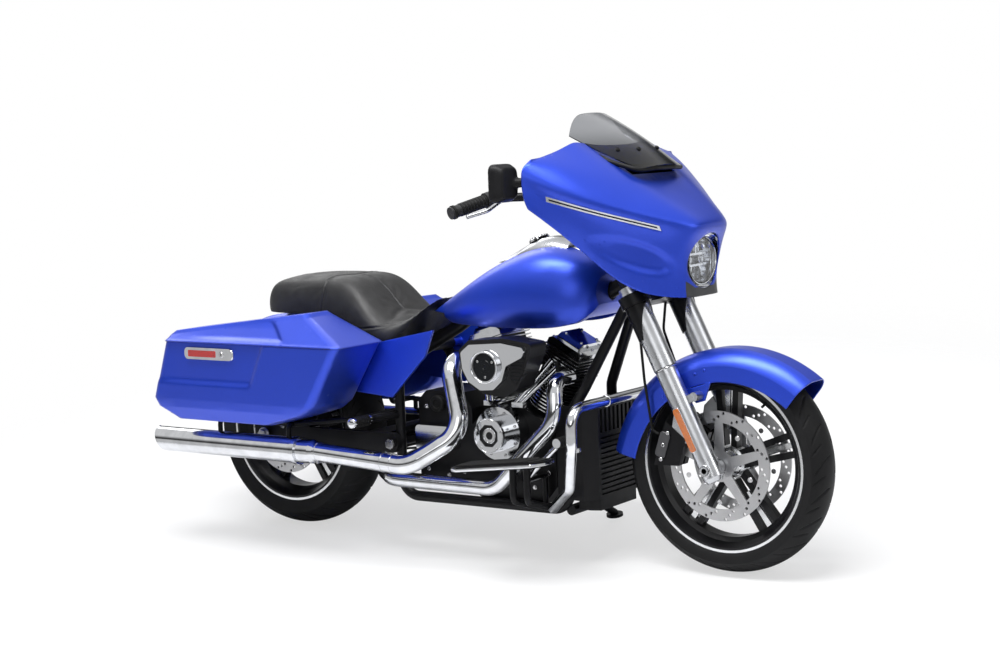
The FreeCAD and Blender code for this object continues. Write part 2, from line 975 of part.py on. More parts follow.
def wheels():
    """Both wheels with their tyres, discs and drive pulley."""
    tyre("front_tyre", size.front_radius, size.front_tyre_width, size.front_tyre_shoulder,
         size.front_bead_radius, size.front_bead_width, FRONT_AXLE)
    tyre("rear_tyre", size.rear_radius, size.rear_tyre_width, size.rear_tyre_shoulder,
         size.rear_bead_radius, size.rear_bead_width, REAR_AXLE)
    cast_wheel("front_wheel", size.front_bead_radius, size.front_bead_width,
               size.front_hub_radius, size.front_hub_width, FRONT_AXLE)
    cast_wheel("rear_wheel", size.rear_bead_radius, size.rear_bead_width,
               size.rear_hub_radius, size.rear_hub_width, REAR_AXLE)
    disc = disc_body("front_disc", size.disc_radius, size.disc_place, 5)
    disc.Placement = Placement(FRONT_AXLE, Rotation())
    pair("front_discs", disc)
    rear_disc = disc_body("rear_disc_body", size.rear_disc_radius, -size.rear_disc_place, 5)
    finish("rear_disc", rear_disc, Placement(REAR_AXLE, Rotation()))
    pulley = new_body("pulley_body")
    sketch = sketch_on(pulley, "YZ_Plane", "pulley_profile")
    inner = size.pulley_place - size.pulley_width / 2
    outer = size.pulley_place + size.pulley_width / 2
    bore = size.axle_radius + size.running_gap
    outline(sketch, [
        (size.rear_hub_width / 2 + size.fit_gap, bore),
        (inner + size.pulley_width * 0.8, bore),
        (inner + size.pulley_width * 0.8, size.rear_hub_radius),
        (inner + size.pulley_width * 0.6, size.pulley_radius - size.belt_thickness * 3),
        (outer, size.pulley_radius - size.belt_thickness * 2),
        (outer, size.pulley_radius),
        (inner, size.pulley_radius),
        (inner, size.pulley_radius - size.belt_thickness * 2),
        (size.rear_hub_width / 2 + size.fit_gap, size.rear_hub_radius),
    ])
    turning(pulley, sketch, "pulley_turned")
    finish("rear_pulley", pulley, Placement(REAR_AXLE, Rotation()))


def axle(name, half_length, place, right, left):
    """A hollow axle with a spacer on each side, each from its inner to its outer end."""
    body = new_body(f"{name}_body")
    sketch = sketch_on(body, "YZ_Plane", f"{name}_profile")
    thin, thick = size.axle_radius, size.spacer_radius
    outline(sketch, [
        (-half_length, size.axle_hollow_radius),
        (half_length, size.axle_hollow_radius),
        (half_length, thin),
        (left[1], thin), (left[1], thick), (left[0], thick), (left[0], thin),
        (-right[0], thin), (-right[0], thick), (-right[1], thick), (-right[1], thin),
        (-half_length, thin),
    ])
    turning(body, sketch, f"{name}_turned")
    finish(name, body, Placement(place, Rotation()))


# Fork
def fork():
    """Fork legs, covers, clamps and stem, drawn along the fork's own axis."""
    lower = new_body("fork_leg_body")
    sketch = sketch_on(lower, "XZ_Plane", "fork_leg_profile", -size.leg_place)
    radius = size.leg_radius
    low, top = -size.leg_below_axle, size.leg_above_axle
    outline(sketch, [
        (0, low), (radius * 0.75, low), (radius, low + radius * 0.4),
        (radius, top - radius * 0.2), (radius * 0.9, top), (0, top),
    ])
    leg = lower.newObject("PartDesign::Revolution", "fork_leg_turned")
    leg.Profile = sketch
    leg.ReferenceAxis = (sketch, ["V_Axis"])
    leg.Angle = 360
    bore = sketch_on(lower, "XZ_Plane", "fork_leg_bore_outline", -size.leg_place)
    ring(bore, 0, 0, size.axle_radius + size.running_gap)
    pocket(lower, bore, radius * 3, "fork_leg_bore")
    flat = sketch_on(lower, "XZ_Plane", "caliper_bracket_outline", -(size.leg_place - size.leg_radius
                                                                    - size.bracket_thickness))
    reach = size.disc_radius + size.caliper_over
    outline(flat, [
        (-radius * 0.5, size.disc_radius * 0.5), (-radius * 0.5, reach),
        (-radius * 1.7, reach * 0.94), (-radius * 3.4, reach * 0.6),
        (-radius * 3.9, size.disc_radius * 0.45), (-radius * 2.4, size.disc_radius * 0.66),
    ])
    pad(lower, flat, size.bracket_thickness, "caliper_bracket", midplane=False, backward=True)
    arm = sketch_on(lower, "XZ_Plane", "caliper_bracket_arm_outline", -(size.leg_place - size.leg_radius
                                                                       - size.bracket_thickness))
    outline(arm, [
        (-radius * 0.5, size.disc_radius * 0.6), (radius * 0.4, size.disc_radius * 0.6),
        (radius * 0.4, reach * 0.9), (-radius * 0.5, reach * 0.9),
    ])
    pad(lower, arm, radius, "caliper_bracket_root", midplane=False, backward=True)
    lug = sketch_on(lower, "XZ_Plane", "fender_lug_outline", -size.fender_lug_inner)
    ring(lug, size.fender_lug_ahead, size.fender_lug_up, size.fender_lug_radius)
    pad(lower, lug, size.leg_place - size.fender_lug_inner, "fender_lug", midplane=False, backward=True)
    web = sketch_on(lower, "XZ_Plane", "fender_lug_web_outline", -size.leg_place)
    outline(web, [
        (0, size.fender_lug_up - size.fender_lug_radius),
        (size.fender_lug_ahead, size.fender_lug_up - size.fender_lug_radius * 0.8),
        (size.fender_lug_ahead, size.fender_lug_up + size.fender_lug_radius * 0.8),
        (0, size.fender_lug_up + size.fender_lug_radius),
    ])
    pad(lower, web, size.fender_lug_radius, "fender_lug_web")
    lower.Placement = FORK
    pair("fork_legs", lower)

    cover = new_body("fork_cover_body")
    sketch = sketch_on(cover, "XZ_Plane", "fork_cover_profile", -size.leg_place)
    start = size.leg_above_axle + size.fit_gap
    end = start + size.cover_length
    outline(sketch, [
        (0, start), (size.cover_radius, start), (size.cover_radius, end), (0, end),
    ])
    shell = cover.newObject("PartDesign::Revolution", "fork_cover_turned")
    shell.Profile = sketch
    shell.ReferenceAxis = (sketch, ["V_Axis"])
    shell.Angle = 360
    cover.Placement = FORK
    pair("fork_covers", cover)


def fork_clamps():
    """The two triple clamps, with the stem and the upper fork tubes in them."""
    thick = float(size.clamp_thickness)
    reach = float(size.clamp_reach)
    side = float(size.leg_place)
    gap = float(size.fit_gap)
    stem_low = float(size.lower_clamp_place) - thick / 2
    stem_top = float(size.upper_clamp_place) + thick / 2
    body = Part.makeCylinder(float(size.stem_radius), stem_top - stem_low, at(STEM_AHEAD, 0, stem_low))
    for place in (size.lower_clamp_place, size.upper_clamp_place):
        low = float(place) - thick / 2
        plate = Part.makeBox(reach * 1.4, side * 2, thick, at(-reach * 0.7, -side, low))
        yoke = Part.makeCylinder(reach, thick, at(STEM_AHEAD, 0, low))
        ends = [Part.makeCylinder(reach * 1.25, thick, at(0, side * way, low)) for way in (-1, 1)]
        body = body.fuse([plate, yoke] + ends)
    cover_top = float(size.leg_above_axle + size.cover_length) + 2 * gap
    for way in (-1, 1):
        centre = at(0, side * way, 0)
        body = body.cut(Part.makeCylinder(float(size.cover_radius) + gap, cover_top, centre))
        tube_foot = centre + at(0, 0, cover_top)
        body = body.fuse(Part.makeCylinder(float(size.inner_tube_radius), stem_top - cover_top, tube_foot))
    lamp_back = FORK.inverse().multVec(at(size.lamp_forward - size.lamp_depth + size.fit_gap * 2, 0,
                                          size.lamp_height + size.lamp_half_height / 2))
    body = body.fuse(rod(at(STEM_AHEAD + reach, 0, size.upper_clamp_place), lamp_back, size.mount_radius))
    shaped("triple_clamps", body.removeSplitter(), FORK)


def turned_fender(name, radius, half_width, skirt, start, sweep, place):
    """A fender turned part of the way round a wheel, from its arched section."""
    body = new_body(f"{name}_body")
    sketch = sketch_on(body, "XY_Plane", f"{name}_section")
    wall = size.fender_wall
    edge = radius - skirt
    knee = radius - half_width * 0.55
    bend = half_width * 0.8
    outline(sketch, [
        (edge, half_width),
        (knee, half_width, -bend),
        (radius, half_width * 0.4),
        (radius, -half_width * 0.4, -bend),
        (knee, -half_width),
        (edge, -half_width),
        (edge, -half_width + wall),
        (knee, -half_width + wall, bend - wall),
        (radius - wall, -half_width * 0.4),
        (radius - wall, half_width * 0.4, bend - wall),
        (knee, half_width - wall),
        (edge, half_width - wall),
    ])
    feature = turning(body, sketch, f"{name}_turned", "V_Axis", sweep)
    feature.Reversed = True
    body.Placement = Placement(place, Rotation(ACROSS, -float(start)))
    DOCUMENT.recompute()
    return body.Shape.copy()


def fenders():
    """The front fender on the fork and the rear fender under the seat."""
    front_place = FRONT_AXLE + at(size.front_fender_forward, 0, -size.front_fender_down)
    front = turned_fender("front_fender", size.front_fender_radius, size.front_fender_half_width,
                          size.front_fender_skirt, size.front_fender_start, size.front_fender_sweep,
                          front_place)
    tab = fender_tab(front_place)
    shaped("front_fender", front.fuse([tab, mirrored(tab)]))
    rear = turned_fender("rear_fender", size.rear_fender_radius, size.rear_fender_half_width,
                         size.rear_fender_skirt, size.rear_fender_start, size.rear_fender_sweep,
                         REAR_AXLE)
    shaped("rear_fender", rear)


def fender_tab(place):
    """The left plate that carries the front fender on the fork leg's lug."""
    inner = size.front_fender_half_width - size.fender_wall
    edge = size.front_fender_radius - size.front_fender_skirt
    corners = []
    for radius, angle in ((edge + size.fit_gap * 5, size.tab_start), (edge + size.fit_gap * 5, size.tab_stop),
                          (edge - size.tab_reach, size.tab_stop - size.tab_taper),
                          (edge - size.tab_reach, size.tab_start + size.tab_taper)):
        across, up = polar(radius, angle)
        corners.append(place + at(across, inner, up))
    return Part.Face(Part.makePolygon(corners + corners[:1])).extrude(at(0, size.tab_thickness, 0))


def tail():
    """Lamps and the bare plate holder at the end of the rear fender."""
    out = turned(ACROSS, 180 - size.plate_angle, REAR_AXLE)
    radius = size.rear_fender_radius + size.fit_gap
    bracket = new_body("plate_bracket_body")
    plate = sketch_on(bracket, "YZ_Plane", "plate_outline", -(radius + size.plate_stand))
    half, tall = size.plate_half_width, size.plate_half_height
    outline(plate, [(-half, -tall), (half, -tall), (half, tall), (-half, tall)])
    for side in (-1, 1):
        for end in (-1, 1):
            ring(plate, size.plate_hole_place * side, size.plate_hole_height * end, size.plate_hole_radius)
    pad(bracket, plate, size.plate_thickness, "plate_pad", midplane=False, backward=True)
    stem = sketch_on(bracket, "YZ_Plane", "plate_stem_outline", -(radius + size.plate_stand))
    outline(stem, [(-half * 0.3, -tall * 0.4), (half * 0.3, -tall * 0.4),
                   (half * 0.3, tall * 0.4), (-half * 0.3, tall * 0.4)])
    pad(bracket, stem, size.plate_stand, "plate_stem", midplane=False)
    finish("plate_bracket", bracket, out)
    lamps = []
    way = turned(ACROSS, 180 - size.tail_lamp_angle, REAR_AXLE)
    for side in (-1, 0, 1):
        place = size.tail_lamp_place * side
        start = way.multVec(at(-radius, place, 0))
        stop = way.multVec(at(-radius - size.tail_lamp_depth, place, 0))
        lamps.append(rod(start, stop, size.tail_lamp_radius))
    body = Part.makeCompound([lamp.cut(upright("rear_fender")) for lamp in lamps])
    shaped("tail_lamps", Part.makeCompound(body.Solids))


def fork_shrouds():
    """The black shrouds behind the upper fork covers, cut to a slanted point."""
    low = size.leg_above_axle + size.shroud_start
    top = size.lower_clamp_place - size.clamp_thickness / 2 - size.fit_gap
    pieces = []
    for side in (-1, 1):
        foot = at(0, size.leg_place * side, low)
        outer = Part.makeCylinder(float(size.cover_radius + size.shroud_wall), float(top - low), foot)
        inner = Part.makeCylinder(float(size.cover_radius + size.fit_gap), float(top - low), foot)
        reach = size.cover_radius * 2
        slant = [at(-size.cover_radius * 0.4, 0, low - size.cut_over), at(reach, 0, low - size.cut_over),
                 at(reach, 0, top - size.cut_over), at(size.cover_radius, 0, top - size.cut_over)]
        knife = Part.Face(Part.makePolygon(slant + slant[:1])).extrude(at(0, reach * 2, 0))
        knife.translate(at(0, size.leg_place * side - reach, 0))
        pieces.append(outer.cut([inner, knife]))
    shaped("fork_shrouds", Part.makeCompound(pieces), FORK)


def brake_lines():
    """The brake lines from the front calipers up behind the fork."""
    middle = size.caliper_start + size.caliper_sweep / 3
    across, up = polar(size.disc_radius + size.caliper_over, middle)
    start = FRONT_AXLE + at(across, size.line_place - size.line_radius * 2, up)
    away = at(across, 0, up).normalize()
    line = tube([
        start + away * float(size.fit_gap),
        start + away * float(size.line_loop * 0.4),
        at(size.line_knee_forward, size.line_place, size.line_knee_height),
        at(size.line_top_forward, size.disc_place, size.line_top_height),
        FORK.multVec(at(-size.clamp_reach * 0.5, size.disc_place, size.lower_clamp_place
                        - size.clamp_thickness / 2 + size.line_radius)),
    ], size.line_radius, size.line_loop).cut(upright("triple_clamps"))
    line = max(line.Solids, key=lambda solid: solid.Volume)
    shaped("brake_lines", Part.makeCompound([line, mirrored(line)]))


def front_brakes():
    """Calipers over the front discs, with their lines up to the lower clamp."""
    body = new_body("front_caliper_body")
    sketch = sketch_on(body, "XZ_Plane", "front_caliper_outline", size.disc_place)
    inner, outer = size.disc_radius - size.disc_track * 1.2, size.disc_radius + size.caliper_over
    low, high = size.caliper_start, size.caliper_start + size.caliper_sweep
    outline(sketch, [
        (polar(inner, low)), (polar(inner, high)),
        (polar(outer, high)), (polar(outer, low)),
    ])
    pad(body, sketch, size.caliper_width, "front_caliper_pad")
    slot = sketch_on(body, "XZ_Plane", "front_caliper_slot_outline", size.disc_place)
    ring(slot, 0, 0, size.disc_radius + size.disc_thickness)
    pocket(body, slot, size.disc_thickness + size.disc_thickness, "front_caliper_slot")
    DOCUMENT.recompute()
    piece = body.Shape.copy()
    piece.Placement = Placement(FRONT_AXLE, Rotation())
    piece = piece.cut(upright("fork_legs"))
    shaped("front_calipers", Part.makeCompound([piece, mirrored(piece)]))


def rear_brake():
    """The rear caliper on its bracket from the right arm."""
    body = new_body("rear_caliper_body")
    sketch = sketch_on(body, "XZ_Plane", "rear_caliper_outline", size.rear_disc_place)
    inner = size.rear_disc_radius - size.disc_track * 1.2
    outer = size.rear_disc_radius + size.caliper_over
    low, high = size.rear_caliper_start, size.rear_caliper_start + size.caliper_sweep
    outline(sketch, [polar(inner, low), polar(outer, low), polar(outer, high), polar(inner, high)])
    pad(body, sketch, size.caliper_width, "rear_caliper_pad")
    stay = sketch_on(body, "XZ_Plane", "rear_caliper_stay_outline",
                     size.rear_disc_place + size.caliper_width / 2)
    root = size.arm_height / 2 + size.fit_gap
    across, width = outer, size.caliper_width
    outline(stay, [(across - width, root), (across, root), (across, root + width), (across - width, root + width)])
    reach = size.arm_place + size.arm_thickness / 2 - size.rear_disc_place - size.caliper_width / 2
    pad(body, stay, reach, "rear_caliper_stay", midplane=False)
    slot = sketch_on(body, "XZ_Plane", "rear_caliper_slot_outline", size.rear_disc_place)
    ring(slot, 0, 0, size.rear_disc_radius + size.disc_thickness)
    pocket(body, slot, size.disc_thickness * 2, "rear_caliper_slot")
    DOCUMENT.recompute()
    piece = body.Shape.copy()
    piece.Placement = Placement(REAR_AXLE, Rotation())
    shaped("rear_caliper", piece.cut([upright("swingarm"), upright("rear_shocks")]))


def polar(radius, degrees):
    """A corner from a radius and an angle, both of the sheet."""
    angle = math.radians(float(degrees))
    return (Size(float(radius) * math.cos(angle), f"({radius.text} * cos({written(degrees)} * 1 deg))"),
            Size(float(radius) * math.sin(angle), f"({radius.text} * sin({written(degrees)} * 1 deg))"))


# Frame
def neck_ends():
    """The lower and upper end of the steering neck."""
    low = float(size.lower_clamp_place + size.clamp_thickness / 2 + size.neck_gap)
    top = float(size.upper_clamp_place - size.clamp_thickness / 2 - size.neck_gap)
    return FORK.multVec(at(STEM_AHEAD, 0, low)), FORK.multVec(at(STEM_AHEAD, 0, top))


def spine(radius):
    """The frame's backbone tube, from the neck to the cross tube under the seat."""
    start, stop = neck_ends()
    return tube([
        start + (stop - start) * 0.5,
        at(size.cradle_front + size.tube_radius, 0, size.backbone_height + size.tube_radius),
        at(size.gearbox_front, 0, size.backbone_height),
        at(size.gearbox_front - size.backbone_drop_length, 0, size.backbone_height - size.backbone_drop),
        at(size.cradle_rear, 0, size.rail_height),
    ], radius, size.tube_bend)


def frame():
    """Neck, backbone, cradle tubes and rails, as one welded frame."""
    start, stop = neck_ends()
    bore = rod(start, stop, size.stem_radius + size.running_gap)
    radius, bend = size.tube_radius, size.tube_bend
    backbone = spine(size.backbone_radius)
    parts = [rod(start, stop, size.neck_radius), backbone]
    for side in (-1, 1):
        half = size.cradle_half_width * side
        parts.append(tube([
            start + (stop - start) * 0.6,
            at(size.cradle_front + size.downtube_step, half * 0.62, size.downtube_knee_height),
            at(size.cradle_front, half, size.downtube_low_height),
            at(size.cradle_front, half, size.cradle_height),
            at(size.cradle_rear, size.upright_place * side, size.cradle_height),
            at(size.cradle_rear, size.upright_place * side, size.rail_height),
            at(size.rail_rear, size.rail_half_width * side, size.rail_height),
        ], radius, bend))
    for forward, half, up in ((size.cradle_front, size.cradle_half_width, size.cradle_height),
                              (size.cradle_rear, size.upright_place, size.rail_height),
                              (size.cradle_rear, size.upright_place, size.cross_tube_height)):
        parts.append(rod(at(forward, -half, up), at(forward, half, up), radius))
    parts += frame_brackets()
    pin = size.arm_place + size.arm_thickness
    parts.append(rod(at(size.pivot_forward, -pin, size.pivot_height),
                     at(size.pivot_forward, pin, size.pivot_height), size.pivot_pin_radius))
    body = parts[0].fuse(parts[1:]).cut(bore)
    shaped("frame", body)


def frame_brackets():
    """The bars welded to the frame that carry shocks, pegs and footboards."""
    bars = []
    for side in (-1, 1):
        rail, upright = size.rail_half_width * side, size.upright_place * side
        bars.append(rod(at(size.shock_top_forward, rail, size.rail_height),
                        at(size.shock_top_forward, (size.shock_place + size.shock_radius) * side,
                           size.rail_height), size.shock_lug_radius))
        bars.append(tube([
            at(size.cradle_rear, upright, size.peg_height),
            at(size.peg_forward, (size.peg_inner - size.peg_bar_bend) * side, size.peg_height),
            at(size.peg_forward, (size.peg_inner - size.pin_gap) * side, size.peg_height),
        ], size.peg_bar_radius, size.peg_bar_bend))
        for forward in (size.fender_bolt_rear, size.fender_bolt_front):
            bars.append(rod(at(forward, rail, size.rail_height),
                            at(forward, (size.rear_fender_half_width + size.fit_gap) * side,
                               size.rail_height), size.bolt_radius))
        for up in (size.radiator_low + size.radiator_stay, size.downtube_low_height - size.radiator_stay):
            bars.append(rod(at(size.cradle_front, size.cradle_half_width * side, up),
                            at(size.cradle_front, (size.radiator_half_width - size.cheek_wall
                                                   - size.fit_gap) * side, up), size.bolt_radius))
        for forward in (size.board_bar_rear, size.board_bar_front):
            up = size.board_height + size.board_thickness / 2
            rise = (forward - size.board_rear) * math.tan(math.radians(float(size.board_tilt)))
            bars.append(tube([
                at(forward, size.cradle_half_width * side, size.cradle_height),
                at(forward, (size.board_inner - size.board_bar_radius - size.pin_gap) * side, size.board_bar_low),
                at(forward, (size.board_inner - size.board_bar_radius - size.pin_gap) * side, up + rise),
            ], size.board_bar_radius, size.board_bar_radius * 2))
    for forward in (size.tank_bolt_rear, size.tank_bolt_front):
        bars.append(tank_bolt(forward, 0))
    bars.append(rod(at(size.pedal_pivot, -size.cradle_half_width, size.cradle_height),
                    at(size.pedal_pivot, -size.cradle_half_width, size.pedal_low), size.bolt_radius))
    pivot, _, way = stand_hinge()
    bars.append(rod(pivot - way * float(size.stand_radius + size.pin_gap),
                    pivot - way * float(size.stand_radius * 2 + size.pin_gap), size.stand_radius))
    return bars


def tank_bolt(forward, grow):
    """A cross bolt of the backbone that carries the tank."""
    return rod(at(forward, -size.tank_bolt_reach - grow, size.backbone_height),
               at(forward, size.tank_bolt_reach + grow, size.backbone_height), size.bolt_radius + grow)


def swingarm():
    """Two arms from the pivot to the rear axle, joined by a cross tube."""
    body = new_body("swingarm_body")
    sketch = sketch_on(body, "XZ_Plane", "swingarm_outline", 0)
    half = size.arm_height / 2
    front, rear = size.pivot_forward, -size.arm_height * 0.8
    low = size.rear_radius
    outline(sketch, [
        (rear, low - half), (front, size.pivot_height - half, size.arm_nose_radius),
        (front, size.pivot_height + half), (rear, low + half),
    ])
    pad(body, sketch, size.arm_place * 2 + size.arm_thickness, "swingarm_block")
    inside = sketch_on(body, "XY_Plane", "swingarm_space_outline", low)
    inner = size.arm_place - size.arm_thickness / 2
    outline(inside, [
        (rear - size.cut_over, -inner), (size.cross_rear, -inner),
        (size.cross_rear, inner), (rear - size.cut_over, inner),
    ])
    end = front + size.arm_height
    outline(inside, [
        (size.cross_front, -inner), (end, -inner), (end, inner), (size.cross_front, inner),
    ])
    pocket(body, inside, size.arm_height * 3, "swingarm_space")
    bore = sketch_on(body, "XZ_Plane", "swingarm_bore_outline", 0)
    ring(bore, 0, low, size.axle_radius + size.running_gap)
    ring(bore, front, size.pivot_height, size.pivot_pin_radius + size.running_gap)
    pocket(body, bore, size.arm_place * 4, "swingarm_bore")
    finish("swingarm", body)


def shocks():
    """Two shock absorbers between the arms and the rails."""
    low = at(size.shock_low_forward, size.shock_place, size.shock_low_height)
    top = at(size.shock_top_forward, size.shock_place, size.shock_top_height)
    way = (top - low).normalize()
    reach = (top - low).Length
    body = rod(low, top, size.shock_radius * 0.5)
    body = body.fuse(rod(low + way * (reach * 0.15), low + way * (reach * 0.85), size.shock_radius))
    lug = rod(at(size.shock_top_forward, 0, size.rail_height),
              at(size.shock_top_forward, size.bag_inner, size.rail_height),
              size.shock_lug_radius + size.fit_gap)
    body = body.cut([lug, upright("swingarm")])
    shaped("rear_shocks", Part.makeCompound([body, mirrored(body)]))


# Engine
def engine_case():
    """Crankcase and gearbox between the frame tubes."""
    body = new_body("engine_case_body")
    sketch = sketch_on(body, "XZ_Plane", "crankcase_outline", 0)
    across, up = size.crank_forward, size.crank_height
    deck = size.deck_height
    front, rear = size.front_bank_angle, size.rear_bank_angle
    outline(sketch, [
        (across - deck, up - deck * 0.7),
        (across - deck * 0.7, up - deck * 0.85),
        (across + deck * 0.7, up - deck * 0.85),
        (across + deck, up - deck * 0.5),
        (across + deck, up + deck * 0.2),
        bank_corner(front, deck, size.deck_half_length),
        (across + deck * 0.1, up + deck * 1.07),
        bank_corner(rear, deck, -size.deck_half_length),
        (across - deck, up + deck * 0.5),
    ])
    pad(body, sketch, size.case_half_width * 2, "crankcase_pad")
    box = sketch_on(body, "XZ_Plane", "gearbox_outline", 0)
    rear_end, front_end = size.gearbox_rear, size.crank_forward - size.deck_height + size.cut_over
    low, top = size.gearbox_low, size.gearbox_top
    outline(box, [
        (rear_end, low), (front_end, low), (front_end, top - deck * 0.3),
        (front_end - deck * 0.2, top), (rear_end + deck * 0.2, top), (rear_end, top - deck * 0.2),
    ])
    pad(body, box, size.gearbox_half_width * 2, "gearbox_pad")
    boss = sketch_on(body, "XZ_Plane", "output_outline", -(size.gearbox_half_width - size.fit_gap))
    ring(boss, size.drive_pulley_forward, size.drive_pulley_height, size.drive_pulley_radius)
    pad(body, boss, size.pulley_place + size.belt_width / 2 - size.gearbox_half_width,
        "output_pulley", midplane=False, backward=True)
    finish("engine_case", body)


def belt_band(grow, spare):
    """The room that the drive belt takes round both pulleys, grown by a gap."""
    thick = float(size.belt_width) + 2 * float(spare)
    start = float(size.pulley_place) - thick / 2
    front = at(size.drive_pulley_forward, start, size.drive_pulley_height)
    rear = at(0, start, size.rear_radius)
    return stadium(front, size.drive_pulley_radius + grow, rear, size.pulley_radius + grow, thick)


def drive_belt():
    """The belt from the gearbox's output to the rear wheel."""
    outer = belt_band(size.belt_thickness, 0)
    shaped("drive_belt", outer.cut(belt_band(size.fit_gap, size.fit_gap)))


def bank_corner(angle, along, across):
    """A corner of the crankcase given along and across a cylinder's axis."""
    turn = math.radians(float(angle))
    forward = size.crank_forward
    up = size.crank_height
    text = written(angle)
    return (
        Size(float(forward) + float(along) * math.sin(turn) + float(across) * math.cos(turn),
             f"({forward.text} + {written(along)} * sin({text} * 1 deg)"
             f" + {written(across)} * cos({text} * 1 deg))"),
        Size(float(up) + float(along) * math.cos(turn) - float(across) * math.sin(turn),
             f"({up.text} + {written(along)} * cos({text} * 1 deg)"
             f" - {written(across)} * sin({text} * 1 deg))"),
    )


def bank_place(angle, along):
    """The placement of a piece that stands on a cylinder's axis."""
    turn = math.radians(float(angle))
    reach = float(along)
    foot = at(float(size.crank_forward) + reach * math.sin(turn), 0,
              float(size.crank_height) + reach * math.cos(turn))
    return turned(ACROSS, angle, foot)


def finned_cylinder():
    """One cylinder with its head: a barrel and a block with rows of fins."""
    body = new_body("cylinder_body")
    core = sketch_on(body, "XY_Plane", "barrel_outline")
    ring(core, 0, 0, size.barrel_radius)
    pad(body, core, size.barrel_height, "barrel_pad", midplane=False)
    fin = sketch_on(body, "XY_Plane", "fin_outline", size.fin_pitch)
    ring(fin, 0, 0, size.fin_radius)
    plate = pad(body, fin, size.fin_thickness, "fin_pad", midplane=False)
    in_row(body, [plate], 12, size.fin_pitch * 11, "fin_row")
    head = sketch_on(body, "XY_Plane", "head_outline", size.barrel_height)
    block(head, size.head_half_length, size.head_half_width)
    pad(body, head, size.head_height, "head_pad", midplane=False)
    comb = sketch_on(body, "XY_Plane", "head_fin_outline", size.barrel_height)
    block(comb, size.head_fin_half_length, size.head_fin_half_width)
    plate = pad(body, comb, size.fin_thickness, "head_fin_pad", midplane=False)
    in_row(body, [plate], 7, size.fin_pitch * 6, "head_fin_row")
    return body


def block(sketch, half_length, half_width):
    """A centred rectangle."""
    outline(sketch, [
        (-half_length, -half_width), (half_length, -half_width),
        (half_length, half_width), (-half_length, half_width),
    ])


def rocker_cover():
    """One rocker cover: a box with sloping ends and a raised cap."""
    body = new_body("rocker_cover_body")
    half, low, high = size.rocker_half_length, size.rocker_low_height, size.rocker_cap_height
    inset = size.rocker_cap_inset
    profile = sketch_on(body, "XZ_Plane", "rocker_profile", 0)
    outline(profile, [
        (-half, 0), (half, 0), (half, low * 0.6), (half - inset, low),
        (-half + inset, low), (-half, low * 0.6),
    ])
    pad(body, profile, size.rocker_half_width * 2, "rocker_pad")
    cap = sketch_on(body, "YZ_Plane", "rocker_cap_profile", 0)
    wide = size.rocker_half_width - inset
    outline(cap, [
        (-wide, 0), (wide, 0), (wide, low + high * 0.4), (wide - inset * 1.5, low + high),
        (-wide + inset * 1.5, low + high), (-wide, low + high * 0.4),
    ])
    pad(body, cap, (half - inset * 2) * 2, "rocker_cap_pad")
    return body


def two_banks(name, body, along):
    """A piece on each of the two cylinder axes, as one node."""
    DOCUMENT.recompute()
    shapes = []
    for angle in (size.front_bank_angle, size.rear_bank_angle):
        copy = body.Shape.copy()
        copy.Placement = bank_place(angle, along)
        shapes.append(copy)
    shaped(name, Part.makeCompound(shapes))


def engine():
    """The V-twin with its covers, intake and pushrods."""
    engine_case()
    two_banks("cylinders", finned_cylinder(), size.deck_height)
    two_banks("rocker_covers", rocker_cover(),
              size.deck_height + size.barrel_height + size.head_height)
    rods = []
    for angle, lean_in in ((size.front_bank_angle, 1), (size.rear_bank_angle, -1)):
        top_place = bank_place(angle, size.deck_height + size.barrel_height + size.head_height * 0.5)
        for way in (-1, 1):
            top = top_place.multVec(at(size.pushrod_spread * way, -size.head_fin_half_width
                                       - size.pushrod_radius, 0))
            foot = at(size.cam_forward + size.pushrod_foot_spread * lean_in
                      + size.pushrod_spread * (way * 0.6), -size.case_half_width - size.pushrod_radius,
                      size.cam_height + size.pushrod_foot_rise)
            rods.append(rod(foot, top, size.pushrod_radius))
    for lean_in in (-1, 1):
        foot = at(size.cam_forward + size.pushrod_foot_spread * lean_in,
                  -size.case_half_width - size.fit_gap - size.pushrod_radius,
                  size.cam_height + size.pushrod_foot_rise)
        half = size.pushrod_spread + size.pushrod_radius * 0.6
        cap = Part.makeBox(float(half) * 2, float(size.pushrod_radius) * 2, float(size.pushrod_spread),
                           foot - at(half, size.pushrod_radius, size.pushrod_spread * 0.9))
        rods.append(cap)
    joined = rods[0].fuse(rods[1:])
    shaped("pushrod_tubes", Part.makeCompound(joined.Solids))
    engine_covers()
    air_cleaner()


def engine_covers():
    """Cam cover, gearbox side cover and the long primary cover."""
    depth = size.cam_chest_depth
    start = size.case_half_width + size.fit_gap
    cam = Part.makeCylinder(float(size.cam_chest_radius), float(depth),
                            at(size.cam_forward, -start, size.cam_height), -ACROSS)
    face = Part.makeCylinder(float(size.cam_cover_radius), float(size.cam_cover_depth),
                             at(size.cam_forward, -start - depth, size.cam_height), -ACROSS)
    around_face = []
    for corner in range(8):
        turn = math.radians(45 * corner + 22.5)
        around_face.append(at(size.cam_forward, -start - depth - size.cam_cover_depth, size.cam_height)
                           + at(math.cos(turn), 0, math.sin(turn)) * float(size.cam_insert_radius))
    insert = Part.Face(Part.makePolygon(around_face + around_face[:1])).extrude(at(0, size.cam_insert_depth, 0))
    face = face.cut(insert)
    side = side_cover()
    front = at(size.primary_front, start, size.primary_height)
    rear = at(size.primary_rear, start, size.primary_height)
    primary = stadium(front, size.primary_front_radius, rear, size.primary_rear_radius,
                      size.primary_depth)
    primary = primary.cut(belt_band(size.belt_thickness * 2, size.belt_thickness))
    shaped("engine_covers", Part.makeCompound([cam.fuse(face), side, primary]))


